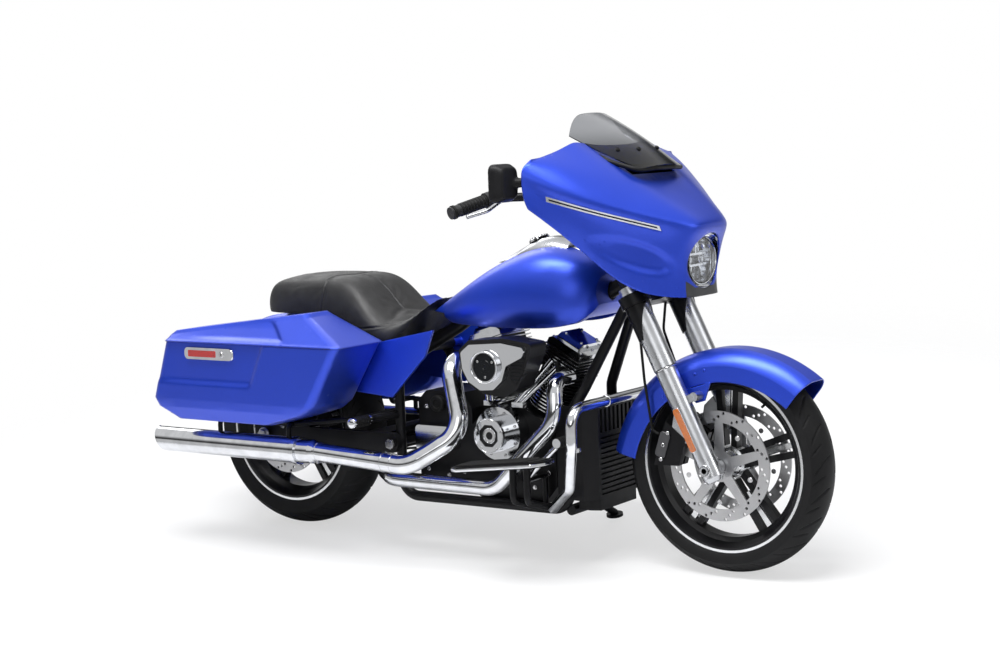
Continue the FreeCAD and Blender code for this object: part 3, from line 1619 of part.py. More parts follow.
def side_cover():
    """The bright cover on the right of the gearbox: a block with a stepped face."""
    start = -size.gearbox_half_width - size.fit_gap
    middle = at(size.side_cover_forward, start, size.side_cover_height)
    layers = []
    for share_out, share_wide in ((0.0, 1.0), (0.6, 0.84)):
        half, tall = size.side_cover_half_length * share_wide, size.side_cover_half_height * share_wide
        centre = middle - at(0, size.side_cover_depth * share_out, 0)
        corners = [centre + at(a * half, 0, b * tall) for a, b in ((-1, -1), (1, -1), (1, 1), (-1, 1))]
        face = Part.Face(rounded_loop(corners, size.side_cover_bend))
        layers.append(face.extrude(at(0, size.side_cover_depth * (share_out - 1.0), 0)))
    return layers[0].fuse(layers[1])


def stadium(front, front_radius, rear, rear_radius, depth):
    """A long cover with round ends, extruded to the left."""
    thick = float(depth)
    big = Part.makeCylinder(float(front_radius), thick, front, ACROSS)
    small = Part.makeCylinder(float(rear_radius), thick, rear, ACROSS)
    tops = [front + at(0, 0, front_radius), front - at(0, 0, front_radius),
            rear - at(0, 0, rear_radius), rear + at(0, 0, rear_radius)]
    web = Part.Face(Part.makePolygon(tops + tops[:1])).extrude(ACROSS * thick)
    return big.fuse([small, web])


def air_cleaner():
    """Air cleaner on its intake stub: a housing, a smaller cover and a round face."""
    inner = float(size.cleaner_inner)
    centre = at(size.cleaner_forward, -size.cleaner_inner, size.cleaner_height)
    length, tall = float(size.cleaner_length), float(size.cleaner_tall)
    depth = size.cleaner_depth
    layers = []
    for start, stop, shares in (
            (0.0, 1.0, ((-0.46, -0.1), (-0.5, 0.28), (-0.36, 0.46), (0.12, 0.52), (0.5, 0.44), (0.46, 0.2),
                        (0.3, -0.34), (0.12, -0.5), (-0.16, -0.46), (-0.36, -0.32))),
            (1.0, 1.24, ((-0.4, -0.02), (-0.42, 0.26), (-0.3, 0.4), (0.14, 0.45), (0.46, 0.38), (0.42, 0.22),
                         (0.2, 0.06), (0.14, -0.2), (0.02, -0.36), (-0.16, -0.38), (-0.32, -0.24)))):
        foot = centre - at(0, depth * start, 0)
        corners = [foot + at(length * a, 0, tall * b) for a, b in shares]
        loop = Part.Face(rounded_loop(corners, size.cleaner_bend))
        layers.append(loop.extrude(at(0, -depth * (stop - start), 0)))
    housing = layers[0].fuse(layers[1])
    middle = centre - at(size.cleaner_face_back, depth * 1.24, -size.cleaner_face_up)
    face = Part.makeCylinder(float(size.cleaner_face_radius), float(size.cleaner_face_depth), middle, -ACROSS)
    dish = Part.makeCylinder(float(size.cleaner_face_radius - size.cleaner_bend / 2), float(size.cleaner_face_depth),
                             middle - at(0, size.cleaner_face_depth / 2, 0), -ACROSS)
    face = face.cut(dish)
    stub = Part.makeCylinder(float(size.intake_radius), inner - float(size.intake_start),
                             at(size.cleaner_forward - size.intake_back, -size.intake_start,
                                size.cleaner_height), -ACROSS)
    heads = [bank_place(angle, size.deck_height + size.barrel_height + size.head_height / 2).Base
             for angle in (size.rear_bank_angle, size.front_bank_angle)]
    runner = rod(heads[0], heads[1], size.runner_radius)
    elbow = rod(at(size.cleaner_forward - size.intake_back, 0, size.cleaner_height),
                at(size.cleaner_forward - size.intake_back, -size.intake_start, size.cleaner_height),
                size.intake_radius)
    ports = runner.fuse(elbow).cut(upright("cylinders"))
    keep = [solid for solid in ports.Solids if solid.isInside(elbow.CenterOfMass, size.running_gap.value, True)]
    shaped("air_cleaner", housing.fuse([face, stub] + keep))


# Exhaust
def muffler(side):
    """A muffler with a slanted open tip, a strap and a shielded pipe in front."""
    radius, wall = float(size.muffler_radius), float(size.muffler_wall)
    tip, front = float(size.muffler_tip), float(size.muffler_front)
    y = size.muffler_place * side
    start = at(tip, y, size.muffler_height)
    body = Part.makeCylinder(radius, front - tip, start, AHEAD)
    strap = Part.makeCylinder(radius + wall, float(size.strap_width), at(front, y, size.muffler_height), AHEAD)
    narrow = size.muffler_radius - size.muffler_wall
    shield = rod(at(front, y, size.muffler_height),
                 at(size.muffler_front + size.muffler_cone, y, size.muffler_height), narrow)
    neck = Part.makeCone(float(narrow), float(size.shield_radius), float(size.strap_width),
                         at(size.muffler_front + size.muffler_cone, y, size.muffler_height), AHEAD)
    body = body.fuse([strap, shield, neck])
    body = body.cut(Part.makeCylinder(radius - wall, float(size.tip_depth), start, AHEAD))
    over = size.cut_over
    low, high = size.muffler_height - radius - over, size.muffler_height + radius + over
    slant = [at(tip - over, y, low), at(tip + size.tip_slant, y, low), at(tip, y, high), at(tip - over, y, high)]
    wedge = Part.Face(Part.makePolygon(slant + slant[:1])).extrude(at(0, radius * 2, 0))
    wedge.translate(at(0, -radius, 0))
    return body.cut(wedge)


def exhaust():
    """Headers with their shields, and a muffler on each side."""
    end = size.muffler_front + size.muffler_cone + size.strap_width
    place, high = size.muffler_place, size.muffler_height
    rear_pipe = tube([
        at(size.rear_port_forward, -size.head_fin_half_width - size.port_clear, size.rear_port_height),
        at(size.rear_port_forward, -size.rear_header_out * 0.9, size.rear_port_height),
        at(size.rear_header_forward, -size.rear_header_out * 1.1, size.rear_header_low),
        at(size.pipe_joint_forward, -place, high - size.pipe_drop),
        at(end, -place, high),
    ], size.shield_radius, size.header_bend)
    front_pipe = tube([
        at(size.front_port_forward, -size.head_fin_half_width - size.port_clear, size.front_port_height),
        at(size.front_port_forward, -size.front_port_turn_out, size.front_port_height),
        at(size.front_port_turn_forward, -size.front_header_out, size.downtube_low_height),
        at(size.crank_forward + size.cam_chest_radius, -size.front_header_out, size.header_low_height + size.port_out),
        at(size.crank_forward, -size.front_header_out, size.header_low_height),
        at(size.pivot_forward, -size.front_header_out, size.header_low_height),
        at(size.crossover_forward, -size.front_header_out / 2, size.header_low_height),
        at(size.crossover_forward - size.port_out, size.front_header_out, size.header_low_height),
        at(end, place, high),
    ], size.header_radius, size.header_bend)
    shaped("exhaust_right", muffler(-1).fuse(rear_pipe))
    shaped("exhaust_left", muffler(1).fuse(front_pipe).cut(upright("frame")))


# Bodywork
def arch_net(rows, arch, rear, length, half_width, low, rise):
    """A net of arches across the machine, from rows of shares."""
    net = []
    for forward, width, foot, top in rows:
        left = [at(share(rear, rear + length, forward),
                   float(half_width) * width * side,
                   share(share(low, low + rise, foot), share(low, low + rise, top), up))
                for side, up in arch]
        net.append(both_sides(left))
    return net


def tank():
    """The fuel tank, saddled over the frame's spine."""
    arch_shares = ((0, 1.02), (0.42, 1.0), (0.84, 0.9), (1.04, 0.5), (1.02, 0.16), (0.84, 0.0))
    row_shares = ((0.0, 0.24, 0.10, 0.14), (0.08, 0.42, 0.02, 0.26), (0.24, 0.76, 0.0, 0.50),
                  (0.46, 0.96, 0.0, 0.84), (0.70, 1.04, 0.0, 1.04), (0.88, 0.96, 0.03, 0.96),
                  (0.97, 0.76, 0.14, 0.80), (1.0, 0.54, 0.30, 0.66))
    net = arch_net(row_shares, arch_shares, size.tank_rear, TANK_LENGTH,
                   size.tank_half_width, size.tank_low, size.tank_rise)
    body = hull(net)
    over = float(size.cut_over)
    body = body.cut(Part.makeBox(float(TANK_LENGTH) + over * 2, float(size.tunnel_half_width) * 2,
                                 float(size.tunnel_top - size.tank_low) + over,
                                 at(size.tank_rear - size.cut_over, -size.tunnel_half_width,
                                    size.tank_low - size.cut_over)))
    body = body.cut([spine(size.backbone_radius + size.spine_gap),
                     tank_bolt(size.tank_bolt_rear, size.fit_gap), tank_bolt(size.tank_bolt_front, size.fit_gap)])
    shaped("fuel_tank", body)


def console():
    """The raised console along the top of the tank."""
    arch_shares = ((0, 1.0), (0.5, 0.96), (0.92, 0.7), (1.0, 0.0))
    row_shares = ((0.0, 0.5, 0.0, 0.2), (0.15, 0.8, 0.1, 0.7), (0.5, 1.0, 0.5, 1.5),
                  (0.85, 0.95, 0.9, 1.9), (1.0, 0.6, 0.9, 1.2))
    rear = size.tank_rear + TANK_LENGTH * 0.39
    net = arch_net(row_shares, arch_shares, rear, TANK_LENGTH * 0.514,
                   size.console_half_width, size.tank_low + size.tank_rise * 0.78, size.console_rise)
    shaped("tank_console", hull(net).cut(upright("fuel_tank")))


def upright(name):
    """A finished sub-part's shape before the machine leans."""
    DOCUMENT.recompute()
    shape = NODES[name].Shape.copy()
    shape.Placement = LEANING.inverse().multiply(shape.Placement)
    return shape


def seat():
    """The two-up seat: a square pillion pad behind a scooped rider's bucket."""
    arch_shares = ((0, 0.98), (0.4, 1.0), (0.78, 1.0), (1.0, 0.86), (1.04, 0.4), (0.98, 0.0))
    row_shares = ((0.0, 0.62, 0.43, 0.66), (0.02, 0.74, 0.42, 0.92), (0.12, 0.82, 0.42, 0.97),
                  (0.38, 0.84, 0.42, 1.0), (0.52, 0.86, 0.30, 1.02), (0.62, 0.92, 0.06, 0.84),
                  (0.72, 1.0, 0.0, 0.46), (0.82, 0.98, 0.02, 0.34), (0.90, 0.72, 0.30, 0.44),
                  (0.95, 0.48, 0.55, 0.60), (1.0, 0.32, 0.66, 0.70))
    net = arch_net(row_shares, arch_shares, size.seat_rear, SEAT_LENGTH,
                   size.seat_half_width, size.seat_low, size.seat_rise)
    shaped("seat", hull(net))


def bag_section(rear, front, inner, outer, up, inset=0):
    """A rounded level section of a saddlebag on the left."""
    gap = float(inset)
    corners = [at(float(rear) + gap, float(inner) + gap, up), at(float(front) - gap, float(inner) + gap, up),
               at(float(front) - gap, float(outer) - gap, up), at(float(rear) + gap, float(outer) - gap, up)]
    return rounded_loop(corners, float(size.bag_corner) - gap)


def bag_loft(inset, low_gap, top_gap):
    """The bag's outer or inner form, from its floor to the seam."""
    low, seam = float(size.bag_low), float(size.bag_seam)
    rear, front = float(size.bag_rear), float(size.bag_front)
    inner, outer = float(size.bag_inner), float(size.bag_outer)
    tall, length = seam - low, front - rear
    row_shares = ((0.0, 0.10, 0.62, 0.84), (0.16, 0.015, 0.80, 0.93), (0.27, 0.0, 0.85, 0.955),
                  (1.0, 0.085, 1.0, 1.0))
    sections = []
    for up, start, stop, side in row_shares:
        height = low + tall * up
        if up == 0.0:
            height += low_gap
        if up == 1.0:
            height += top_gap
        sections.append(bag_section(rear + length * start, rear + length * stop, inner,
                                    inner + (outer - inner) * side, height, inset))
    return Part.makeLoft(sections, True, True)


def lid_loft(inset, low_gap):
    """The lid's outer or inner form, from the seam to its ridge."""
    gap = float(inset)
    inner, outer = float(size.bag_inner), float(size.bag_outer)
    seam = float(size.bag_seam) + low_gap
    wide = outer - inner
    rear, front = float(size.lid_rear), float(size.lid_front)
    ridge = float(size.lid_ridge)
    low = bag_section(rear, front, inner, outer, seam, inset)
    loops = [low]
    for drop, pull in ((float(size.lid_edge), 0.0), (0.0, float(size.lid_edge))):
        side = gap + pull
        corners = [at(rear + gap + side, inner + wide * 0.05 + side, float(size.lid_rear_top) - gap - drop),
                   at(ridge - gap - side, inner + wide * 0.05 + side, float(size.lid_front_top) - gap - drop),
                   at(ridge - gap - side, inner + wide * 0.62 - side, float(size.lid_front_top) - gap - drop),
                   at(rear + gap + side, inner + wide * 0.87 - side, float(size.lid_rear_top) - gap - drop)]
        loops.append(rounded_loop(corners, float(size.bag_corner) * 0.8 - gap))
    return Part.makeLoft(loops, True, True)


def saddlebags():
    """Hollow saddlebags and their lids, the same on both sides."""
    wall = float(size.bag_wall)
    over = float(size.cut_over)
    bag = bag_loft(0, 0, 0).cut(bag_loft(size.bag_wall, wall, over))
    lid = lid_loft(0, float(size.lid_gap)).cut(lid_loft(size.bag_wall, -over))
    for word, shape in (("saddlebag", bag), ("saddlebag_lid", lid)):
        shaped(f"{word}_left", shape)
        shaped(f"{word}_right", mirrored(shape))


def bag_supports():
    """The bars that hang the saddlebags and mufflers from the frame's rails."""
    radius = size.hanger_radius
    bars = []
    for forward in (size.hanger_rear, size.hanger_front):
        bars.append(tube([
            at(forward, size.rail_half_width + size.tube_radius * 0.5, size.rail_height),
            at(forward, size.hanger_place, size.rail_height),
            at(forward, size.hanger_place, size.bag_low - radius - size.fit_gap),
            at(forward, size.muffler_place, size.bag_low - radius - size.fit_gap),
            at(forward, size.muffler_place, size.muffler_height + size.muffler_radius + size.fit_gap),
        ], radius, radius * 2))
    rail = tube([
        at(size.hanger_rear, size.muffler_place - radius * 3, size.bag_low - radius - size.fit_gap),
        at(size.hanger_front, size.muffler_place - radius * 3, size.bag_low - radius - size.fit_gap),
        at(size.rail_nose_forward, size.rail_nose_place, size.rail_nose_height),
        at(size.cradle_rear - size.tube_radius - size.fit_gap, size.upright_place, size.cross_tube_height
           + size.arm_height),
    ], radius, size.guard_bend)
    body = bars[0].fuse([bars[1], rail]).cut([upright("frame"), upright("exhaust_left"),
                                              upright("saddlebag_left")])
    body = max(body.Solids, key=lambda solid: solid.Volume)
    shaped("bag_supports", Part.makeCompound([body, mirrored(body)]))


def side_panels():
    """The painted panels between seat, tank and saddlebags."""
    rear, front = float(size.side_panel_rear), float(size.side_panel_front)
    low, top = float(size.side_panel_low), float(size.side_panel_top)
    shares = ((0.0, 0.10), (0.60, 0.0), (0.92, 0.62), (1.0, 1.0), (0.30, 0.72), (0.04, 0.70))
    corners = [at(rear + (front - rear) * a, size.panel_place, low + (top - low) * b) for a, b in shares]
    plate = Part.Face(Part.makePolygon(corners + corners[:1])).extrude(at(0, size.panel_thickness, 0))
    studs = [rod(at(forward, size.rail_half_width, size.rail_height),
                 at(forward, size.panel_place, size.rail_height), size.peg_bar_radius)
             for forward in (size.side_panel_rear + size.tube_bend, size.cradle_rear)]
    plate = plate.fuse(studs).cut(upright("frame"))
    plate = max(plate.Solids, key=lambda solid: solid.Volume)
    shaped("side_panels", Part.makeCompound([plate, mirrored(plate)]))


# Fairing
def fairing_net():
    """The points that draw the fairing, from its lower edge to its top edge."""
    row_shares = (
        ((0.904, 0, 0.009), (0.907, 0.112, 0.009), (0.901, 0.206, 0.011), (0.76, 0.3, 0.017),
         (0.613, 0.436, 0.052), (0.435, 0.553, 0.151), (0.248, 0.745, 0.381), (0.045, 0.984, 0.597)),
        ((0.885, 0, 0.112), (0.883, 0.131, 0.112), (0.864, 0.227, 0.11), (0.755, 0.3, 0.116),
         (0.616, 0.45, 0.151), (0.451, 0.562, 0.237), (0.261, 0.778, 0.446), (0.024, 0.993, 0.629)),
        ((0.904, 0, 0.252), (0.904, 0.155, 0.252), (0.885, 0.272, 0.256), (0.787, 0.314, 0.254),
         (0.643, 0.412, 0.259), (0.483, 0.553, 0.284), (0.301, 0.785, 0.5), (0.008, 0.998, 0.677)),
        ((0.933, 0, 0.353), (0.933, 0.155, 0.353), (0.912, 0.272, 0.353), (0.861, 0.295, 0.353),
         (0.696, 0.393, 0.375), (0.509, 0.553, 0.403), (0.315, 0.792, 0.554), (0, 1, 0.733)),
        ((1.003, 0, 0.435), (1, 0.131, 0.435), (0.979, 0.225, 0.431), (0.904, 0.3, 0.427),
         (0.771, 0.393, 0.448), (0.547, 0.595, 0.522), (0.328, 0.806, 0.599), (0, 1, 0.763)),
        ((0.992, 0, 0.483), (0.989, 0.122, 0.483), (0.968, 0.22, 0.483), (0.893, 0.319, 0.491),
         (0.744, 0.482, 0.522), (0.536, 0.698, 0.582), (0.301, 0.876, 0.664), (0, 1.002, 0.797)),
        ((0.733, 0, 0.634), (0.728, 0.141, 0.634), (0.701, 0.253, 0.647), (0.637, 0.347, 0.677),
         (0.541, 0.504, 0.69), (0.408, 0.693, 0.72), (0.229, 0.867, 0.763), (0.003, 0.993, 0.841)),
        ((0.483, 0, 0.763), (0.477, 0.145, 0.763), (0.461, 0.286, 0.784), (0.408, 0.389, 0.819),
         (0.333, 0.534, 0.836), (0.243, 0.693, 0.845), (0.141, 0.848, 0.862), (0.019, 0.956, 0.873)),
        ((0.125, 0, 0.953), (0.125, 0.145, 0.953), (0.115, 0.29, 0.961), (0.099, 0.398, 0.978),
         (0.083, 0.482, 0.987), (0.069, 0.6, 0.944), (0.051, 0.773, 0.909), (0.035, 0.918, 0.884)),
    )
    return [both_sides([at(share(size.fairing_rear, size.fairing_rear + size.fairing_length, a),
                           float(size.fairing_half_width) * b,
                           share(size.fairing_low, size.fairing_low + size.fairing_rise, c))
                        for a, b, c in row]) for row in row_shares]


def fairing_points(row_shares):
    """The points of a net drawn in shares of the fairing's size."""
    return [both_sides([at(share(size.fairing_rear, size.fairing_rear + size.fairing_length, a),
                           float(size.fairing_half_width) * b,
                           share(size.fairing_low, size.fairing_low + size.fairing_rise, c))
                        for a, b, c in row]) for row in row_shares]


def lamp_oval(grow, start, stop):
    """An oval bar along the lamp's axis between two places."""
    oval = Part.Ellipse(Vector(), float(size.lamp_half_width + grow), float(size.lamp_half_height + grow))
    face = Part.Face(Part.Wire([oval.toShape()]))
    face.Placement = Placement(at(start, 0, size.lamp_height), Rotation(ACROSS, UPWARD, AHEAD, "ZXY"))
    return face.extrude(at(stop - start, 0, 0))


def strip_prism():
    """The slanted band of the light strip on the left, through the fairing's side."""
    low = at(size.strip_rear, 0, size.strip_rear_height)
    high = at(size.strip_front, 0, size.strip_front_height)
    half = at(0, 0, size.strip_height / 2)
    band = Part.makePolygon([low - half, high - half, high + half, low + half, low - half])
    prism = Part.Face(band).extrude(at(0, size.fairing_half_width + size.cut_over, 0))
    reach = float(size.fairing_half_width) * 4
    return prism.cut(Part.makeBox(reach, float(size.strip_inner), reach))


def vent_slot():
    """The slot for air below the screen."""
    half = size.vent_half_width
    box = Part.makeBox(float(size.vent_depth), float(half * 2), float(size.vent_tall))
    box.Placement = Placement(at(size.vent_forward, -half, size.vent_height), Rotation())
    return box


def fairing():
    """The fork's fairing: outer and inner shells, light strips and headlamp."""
    wall = size.fairing_wall
    outer = skin(fairing_net(), wall)
    lamp_back = size.lamp_forward - size.lamp_depth
    rim_start = size.lamp_forward - size.lamp_rim
    outer = outer.cut([lamp_oval(size.lamp_margin, lamp_back, size.lamp_forward + size.lamp_depth),
                       vent_slot()])
    prism = strip_prism()
    strips = [outer.common(prism), outer.common(mirrored(prism))]
    outer = outer.cut([prism, mirrored(prism)])
    shaped("fairing", outer)
    shaped("light_strips", Part.makeCompound(strips))
    bowl = lamp_oval(wall, lamp_back, rim_start)
    collar = lamp_oval(size.lamp_margin * 2, rim_start - wall, size.lamp_forward + size.lamp_rim)
    collar = collar.cut(lamp_oval(size.lamp_margin, rim_start, size.lamp_forward + size.lamp_rim * 2))
    bowl = bowl.fuse([lamp_oval(size.lamp_margin * 2, rim_start - wall * 2, rim_start), collar])
    bowl = bowl.cut([lamp_oval(0, lamp_back + wall, size.lamp_forward), outer, upright("triple_clamps")])
    shaped("headlamp", max(bowl.Solids, key=lambda solid: solid.Volume))
    lens = lamp_oval(-size.fit_gap, rim_start - wall, size.lamp_forward)
    lens = lens.cut(lamp_oval(-wall, rim_start - wall * 2, size.lamp_forward - wall))
    shaped("headlamp_lens", lens)
    inner = skin(fairing_points((
        ((0.12, 0, 0.96), (0.12, 0.3, 0.96), (0.09, 0.6, 0.92), (0.03, 0.96, 0.87)),
        ((0.14, 0, 0.8), (0.14, 0.3, 0.8), (0.12, 0.62, 0.80), (0.03, 1.02, 0.80)),
        ((0.26, 0, 0.62), (0.26, 0.3, 0.62), (0.22, 0.6, 0.66), (0.03, 1.02, 0.70)),
        ((0.40, 0, 0.42), (0.40, 0.26, 0.42), (0.36, 0.56, 0.42), (0.10, 0.98, 0.58)),
    )), wall)
    inner = inner.cut(outer)
    shaped("fairing_inner", max(inner.Solids, key=lambda solid: solid.Volume))


def screen():
    """The low screen and the bead that seats it on the fairing."""
    row_shares = (
        ((1.0, 0, 0.06), (0.99, 0.33, 0.05), (0.955, 0.68, 0.02), (0.92, 0.80, 0.0)),
        ((0.73, 0, 0.43), (0.72, 0.40, 0.41), (0.64, 0.78, 0.32), (0.585, 1.0, 0.22)),
        ((0.39, 0, 0.76), (0.38, 0.36, 0.735), (0.31, 0.74, 0.64), (0.24, 1.06, 0.47)),
        ((0.02, 0, 1.0), (0.0, 0.33, 1.0), (-0.04, 0.72, 0.95), (0.05, 1.06, 0.61)),
    )
    net = [both_sides([at(share(size.screen_rear, size.screen_front, a),
                          float(size.screen_half_width) * b,
                          share(size.screen_low, size.screen_top, c))
                       for a, b, c in row]) for row in row_shares]
    glass = skin(net, size.screen_wall).cut(upright("fairing"))
    glass = max(glass.Solids, key=lambda solid: solid.Volume)
    shaped("windscreen", glass)
    seat_shares = ((0.05, 1.08, 0.50), (0.585, 1.02, 0.14), (0.90, 0.84, -0.02), (0.96, 0.34, 0.0))
    half = [at(share(size.screen_rear, size.screen_front, a), float(size.screen_half_width) * b,
               share(size.screen_low, size.screen_top, c)) for a, b, c in seat_shares]
    other = [at(p.x, -p.y, p.z) for p in reversed(half)]
    bead = tube(half + other, size.bead_radius, size.bead_bend).cut([upright("fairing"), glass])
    shaped("screen_trim", max(bead.Solids, key=lambda solid: solid.Volume))


def mirrors():
    """The two mirrors at the fairing's outer edges, each on its stub."""
    half, tall = size.mirror_width / 2, size.mirror_tall / 2
    centre = at(size.mirror_forward, size.mirror_place, size.mirror_height)
    back = at(size.mirror_depth / 2, 0, 0)
    loops = []
    for offset, wide in ((-1, 1.0), (0, 1.0), (1, 0.8)):
        corners = [centre + back * offset + at(0, half * wide * a, tall * wide * b)
                   for a, b in ((-1, -1), (1, -1), (1, 1), (-1, 1))]
        loops.append(rounded_loop(corners, size.mirror_bend))
    body = Part.makeLoft(loops, True, True)
    glass = Part.Face(rounded_loop([centre - back + at(0, (half - size.mirror_rim) * a, (tall - size.mirror_rim) * b)
                                    for a, b in ((-1, -1), (1, -1), (1, 1), (-1, 1))],
                                   size.mirror_bend - size.mirror_rim))
    body = body.cut(glass.extrude(at(size.mirror_rim / 2, 0, 0)))
    stub = rod(centre - at(0, half * 0.4, 0), at(size.fairing_rear + size.fairing_wall * 3,
               size.fairing_half_width - size.mirror_bend, size.mirror_height), size.mirror_stub_radius)
    body = body.fuse(stub).cut(upright("fairing"))
    body = max(body.Solids, key=lambda solid: solid.Volume)
    shaped("mirrors", Part.makeCompound([body, mirrored(body)]))


# Handlebar
def handlebar():
    """The bar on its risers, the grips and the levers."""
    half = [at(size.grip_outer_forward, size.grip_outer, size.grip_outer_height),
            at(size.grip_inner_forward, size.grip_inner, size.grip_inner_height),
            at(size.bar_elbow_forward, size.bar_elbow_place, size.grip_inner_height),
            at(size.bar_knee_forward, size.bar_knee_place, size.bar_knee_height),
            at(size.bar_centre_forward, size.riser_place, size.bar_centre_height)]
    other = [at(p.x, -p.y, p.z) for p in reversed(half)]
    bar = tube(half + other, size.bar_radius, size.bar_bend)
    top = FORK.inverse().multVec(at(size.bar_centre_forward, 0, size.bar_centre_height))
    foot_up = float(size.upper_clamp_place + size.clamp_thickness / 2)
    risers = []
    for side in (-1, 1):
        start = FORK.multVec(at(top.x, size.riser_place * side, foot_up))
        stop = FORK.multVec(at(top.x, size.riser_place * side, top.z))
        risers.append(rod(start, stop, size.grip_radius))
    shaped("handlebar", bar.fuse(risers))
    grips = []
    for side in (1, -1):
        outer_end = at(half[0].x, half[0].y * side, half[0].z)
        inner_end = at(half[1].x, half[1].y * side, half[1].z)
        way = (inner_end - outer_end).normalize()
        start = outer_end - way * float(size.bar_radius)
        grip = rod(start, start + way * float(size.grip_length), size.grip_radius)
        perch = rod(start + way * float(size.grip_length + size.fit_gap),
                    start + way * float(size.grip_length + size.switch_length), size.switch_radius)
        lever = tube([
            start + way * float(size.grip_length + size.switch_length / 2) + at(size.lever_reach, 0, 0),
            start + way * float(size.grip_length * 0.6) + at(size.lever_reach * 1.3, 0, -size.lever_drop),
            start + way * float(size.bar_radius) + at(size.lever_reach, 0, -size.lever_drop),
        ], size.lever_radius, size.lever_reach)
        pivot = start + way * float(size.grip_length + size.switch_length / 2)
        arm = rod(pivot, pivot + at(size.lever_reach, 0, 0), size.lever_arm_radius)
        body = grip.fuse([perch, lever, arm]).cut(bar)
        grips.append(body)
    shaped("hand_controls", Part.makeCompound(grips))


# Fittings
def radiator():
    """The radiator in its shroud: louvres upright above, level below, and the chin."""
    body = new_body("radiator_body")
    sketch = sketch_on(body, "XY_Plane", "radiator_plan", size.radiator_low)
    half, front = size.radiator_half_width, size.radiator_front
    rear, cheek, core = size.cheek_rear, size.cheek_wall, size.radiator_rear
    face, shoulder = size.radiator_face_half_width, size.radiator_shoulder
    outline(sketch, [
        (rear, -half), (shoulder, -half), (front, -face), (front, face), (shoulder, half), (rear, half),
        (rear, half - cheek), (core, half - cheek), (core, -half + cheek), (rear, -half + cheek),
    ])
    pad(body, sketch, size.radiator_top - size.radiator_low, "radiator_pad", midplane=False)
    chin = sketch_on(body, "XY_Plane", "chin_plan", size.radiator_low)
    nose = front - cheek
    outline(chin, [(size.chin_rear, -face), (shoulder, -face), (nose, -face * 0.9), (nose, face * 0.9),
                   (shoulder, face), (size.chin_rear, face)])
    pad(body, chin, size.chin_tall, "chin_pad", midplane=False)
    body.Tip.Reversed = True
    split = size.radiator_low + (size.radiator_top - size.radiator_low) * size.louvre_share
    inset = face - size.louvre_margin
    upright_slot = sketch_on(body, "YZ_Plane", "upright_slot_outline", front)
    outline(upright_slot, [
        (-inset, split + size.louvre_margin), (-inset + size.louvre_width, split + size.louvre_margin),
        (-inset + size.louvre_width, size.radiator_top - size.louvre_margin),
        (-inset, size.radiator_top - size.louvre_margin)])
    slot = pocket(body, upright_slot, size.louvre_depth * 2, "upright_slot")
    in_row(body, [slot], 9, inset * 2 - size.louvre_width, "upright_slots", "Y_Axis")
    level_slot = sketch_on(body, "YZ_Plane", "level_slot_outline", front)
    low = size.radiator_low + size.louvre_margin
    outline(level_slot, [(-inset, low), (inset, low), (inset, low + size.louvre_tall), (-inset, low + size.louvre_tall)])
    slot = pocket(body, level_slot, size.louvre_depth * 2, "level_slot")
    in_row(body, [slot], 12, split - low - size.louvre_tall, "level_slots", "Z_Axis")
    finish("radiator", body)


def engine_guard():
    """The bright tube guard in front of the engine."""
    half = size.guard_half_width
    side = [at(size.guard_foot_forward, size.cradle_half_width + size.tube_radius + size.guard_radius * 0.8,
               size.guard_foot_height),
            at(size.guard_knee_forward, size.guard_knee_place, size.guard_knee_height),
            at(size.guard_forward, half, size.guard_height - size.guard_bend * 2),
            at(size.guard_forward, half, size.guard_height)]
    other = [at(p.x, -p.y, p.z) for p in reversed(side)]
    shaped("engine_guard", tube(side + other, size.guard_radius, size.guard_bend).cut(upright("frame")))


def footboards():
    """The rider's footboards, hinged at their inner edges."""
    body = new_body("footboard_body")
    sketch = sketch_on(body, "XY_Plane", "footboard_outline")
    length, wide = size.board_length, size.board_outer - size.board_inner
    outline(sketch, [
        (0, 0), (length * 0.7, 0), (length, wide * 0.3), (length, wide * 0.7),
        (length * 0.9, wide), (length * 0.1, wide), (0, wide * 0.8),
    ])
    pad(body, sketch, size.board_thickness, "footboard_pad", midplane=False)
    DOCUMENT.recompute()
    place = turned(ACROSS, -size.board_tilt, at(size.board_rear, size.board_inner, size.board_height))
    shape = body.Shape.copy()
    shape.Placement = place
    shaped("footboard_left", shape)
    shaped("footboard_right", mirrored(shape))


def foot_controls():
    """The brake pedal on the right and the heel and toe shifter on the left."""
    pieces = []
    place = size.pedal_place
    for pivot, ends, side in ((size.pedal_pivot, (size.pedal_toe,), -1),
                              (size.shifter_pivot, (size.pedal_toe, size.shifter_heel), 1)):
        root = at(pivot, size.cradle_half_width * side, size.pedal_low)
        hub = rod(root, at(pivot, place * side, size.pedal_low), size.pedal_boss_radius)
        for end in ends:
            knee = at(pivot, place * side, size.pedal_low)
            tip = at(end, place * side, size.pedal_high)
            hub = hub.fuse(rod(knee, tip, size.pedal_radius))
            pad_rod = rod(tip - at(0, size.pedal_pad / 2, 0), tip + at(0, size.pedal_pad / 2, 0), size.pedal_pad_radius)
            hub = hub.fuse(pad_rod)
        hub = hub.cut([upright("frame"), upright("engine_case"), upright("engine_covers")])
        pieces.append(max(hub.Solids, key=lambda solid: solid.Volume))
    shaped("foot_controls", Part.makeCompound(pieces))


def pegs():
    """The passenger's folding pegs."""
    start = at(size.peg_forward, size.peg_inner, size.peg_height)
    peg = rod(start, start + at(0, size.peg_length, 0), size.peg_radius)
    shaped("passenger_peg_left", peg)
    shaped("passenger_peg_right", mirrored(peg))


def stand_hinge():
    """The side stand's pivot, its foot on the ground and its hinge's direction."""
    pivot = at(size.stand_forward, size.stand_place, size.stand_height)
    resting = LEANING.multVec(at(size.foot_forward, size.foot_place, 0))
    foot = LEANING.inverse().multVec(at(resting.x, resting.y, 0))
    folded = at(-1, size.fold_out_share, -size.fold_down_share)
    return pivot, foot, (foot - pivot).cross(folded).normalize()


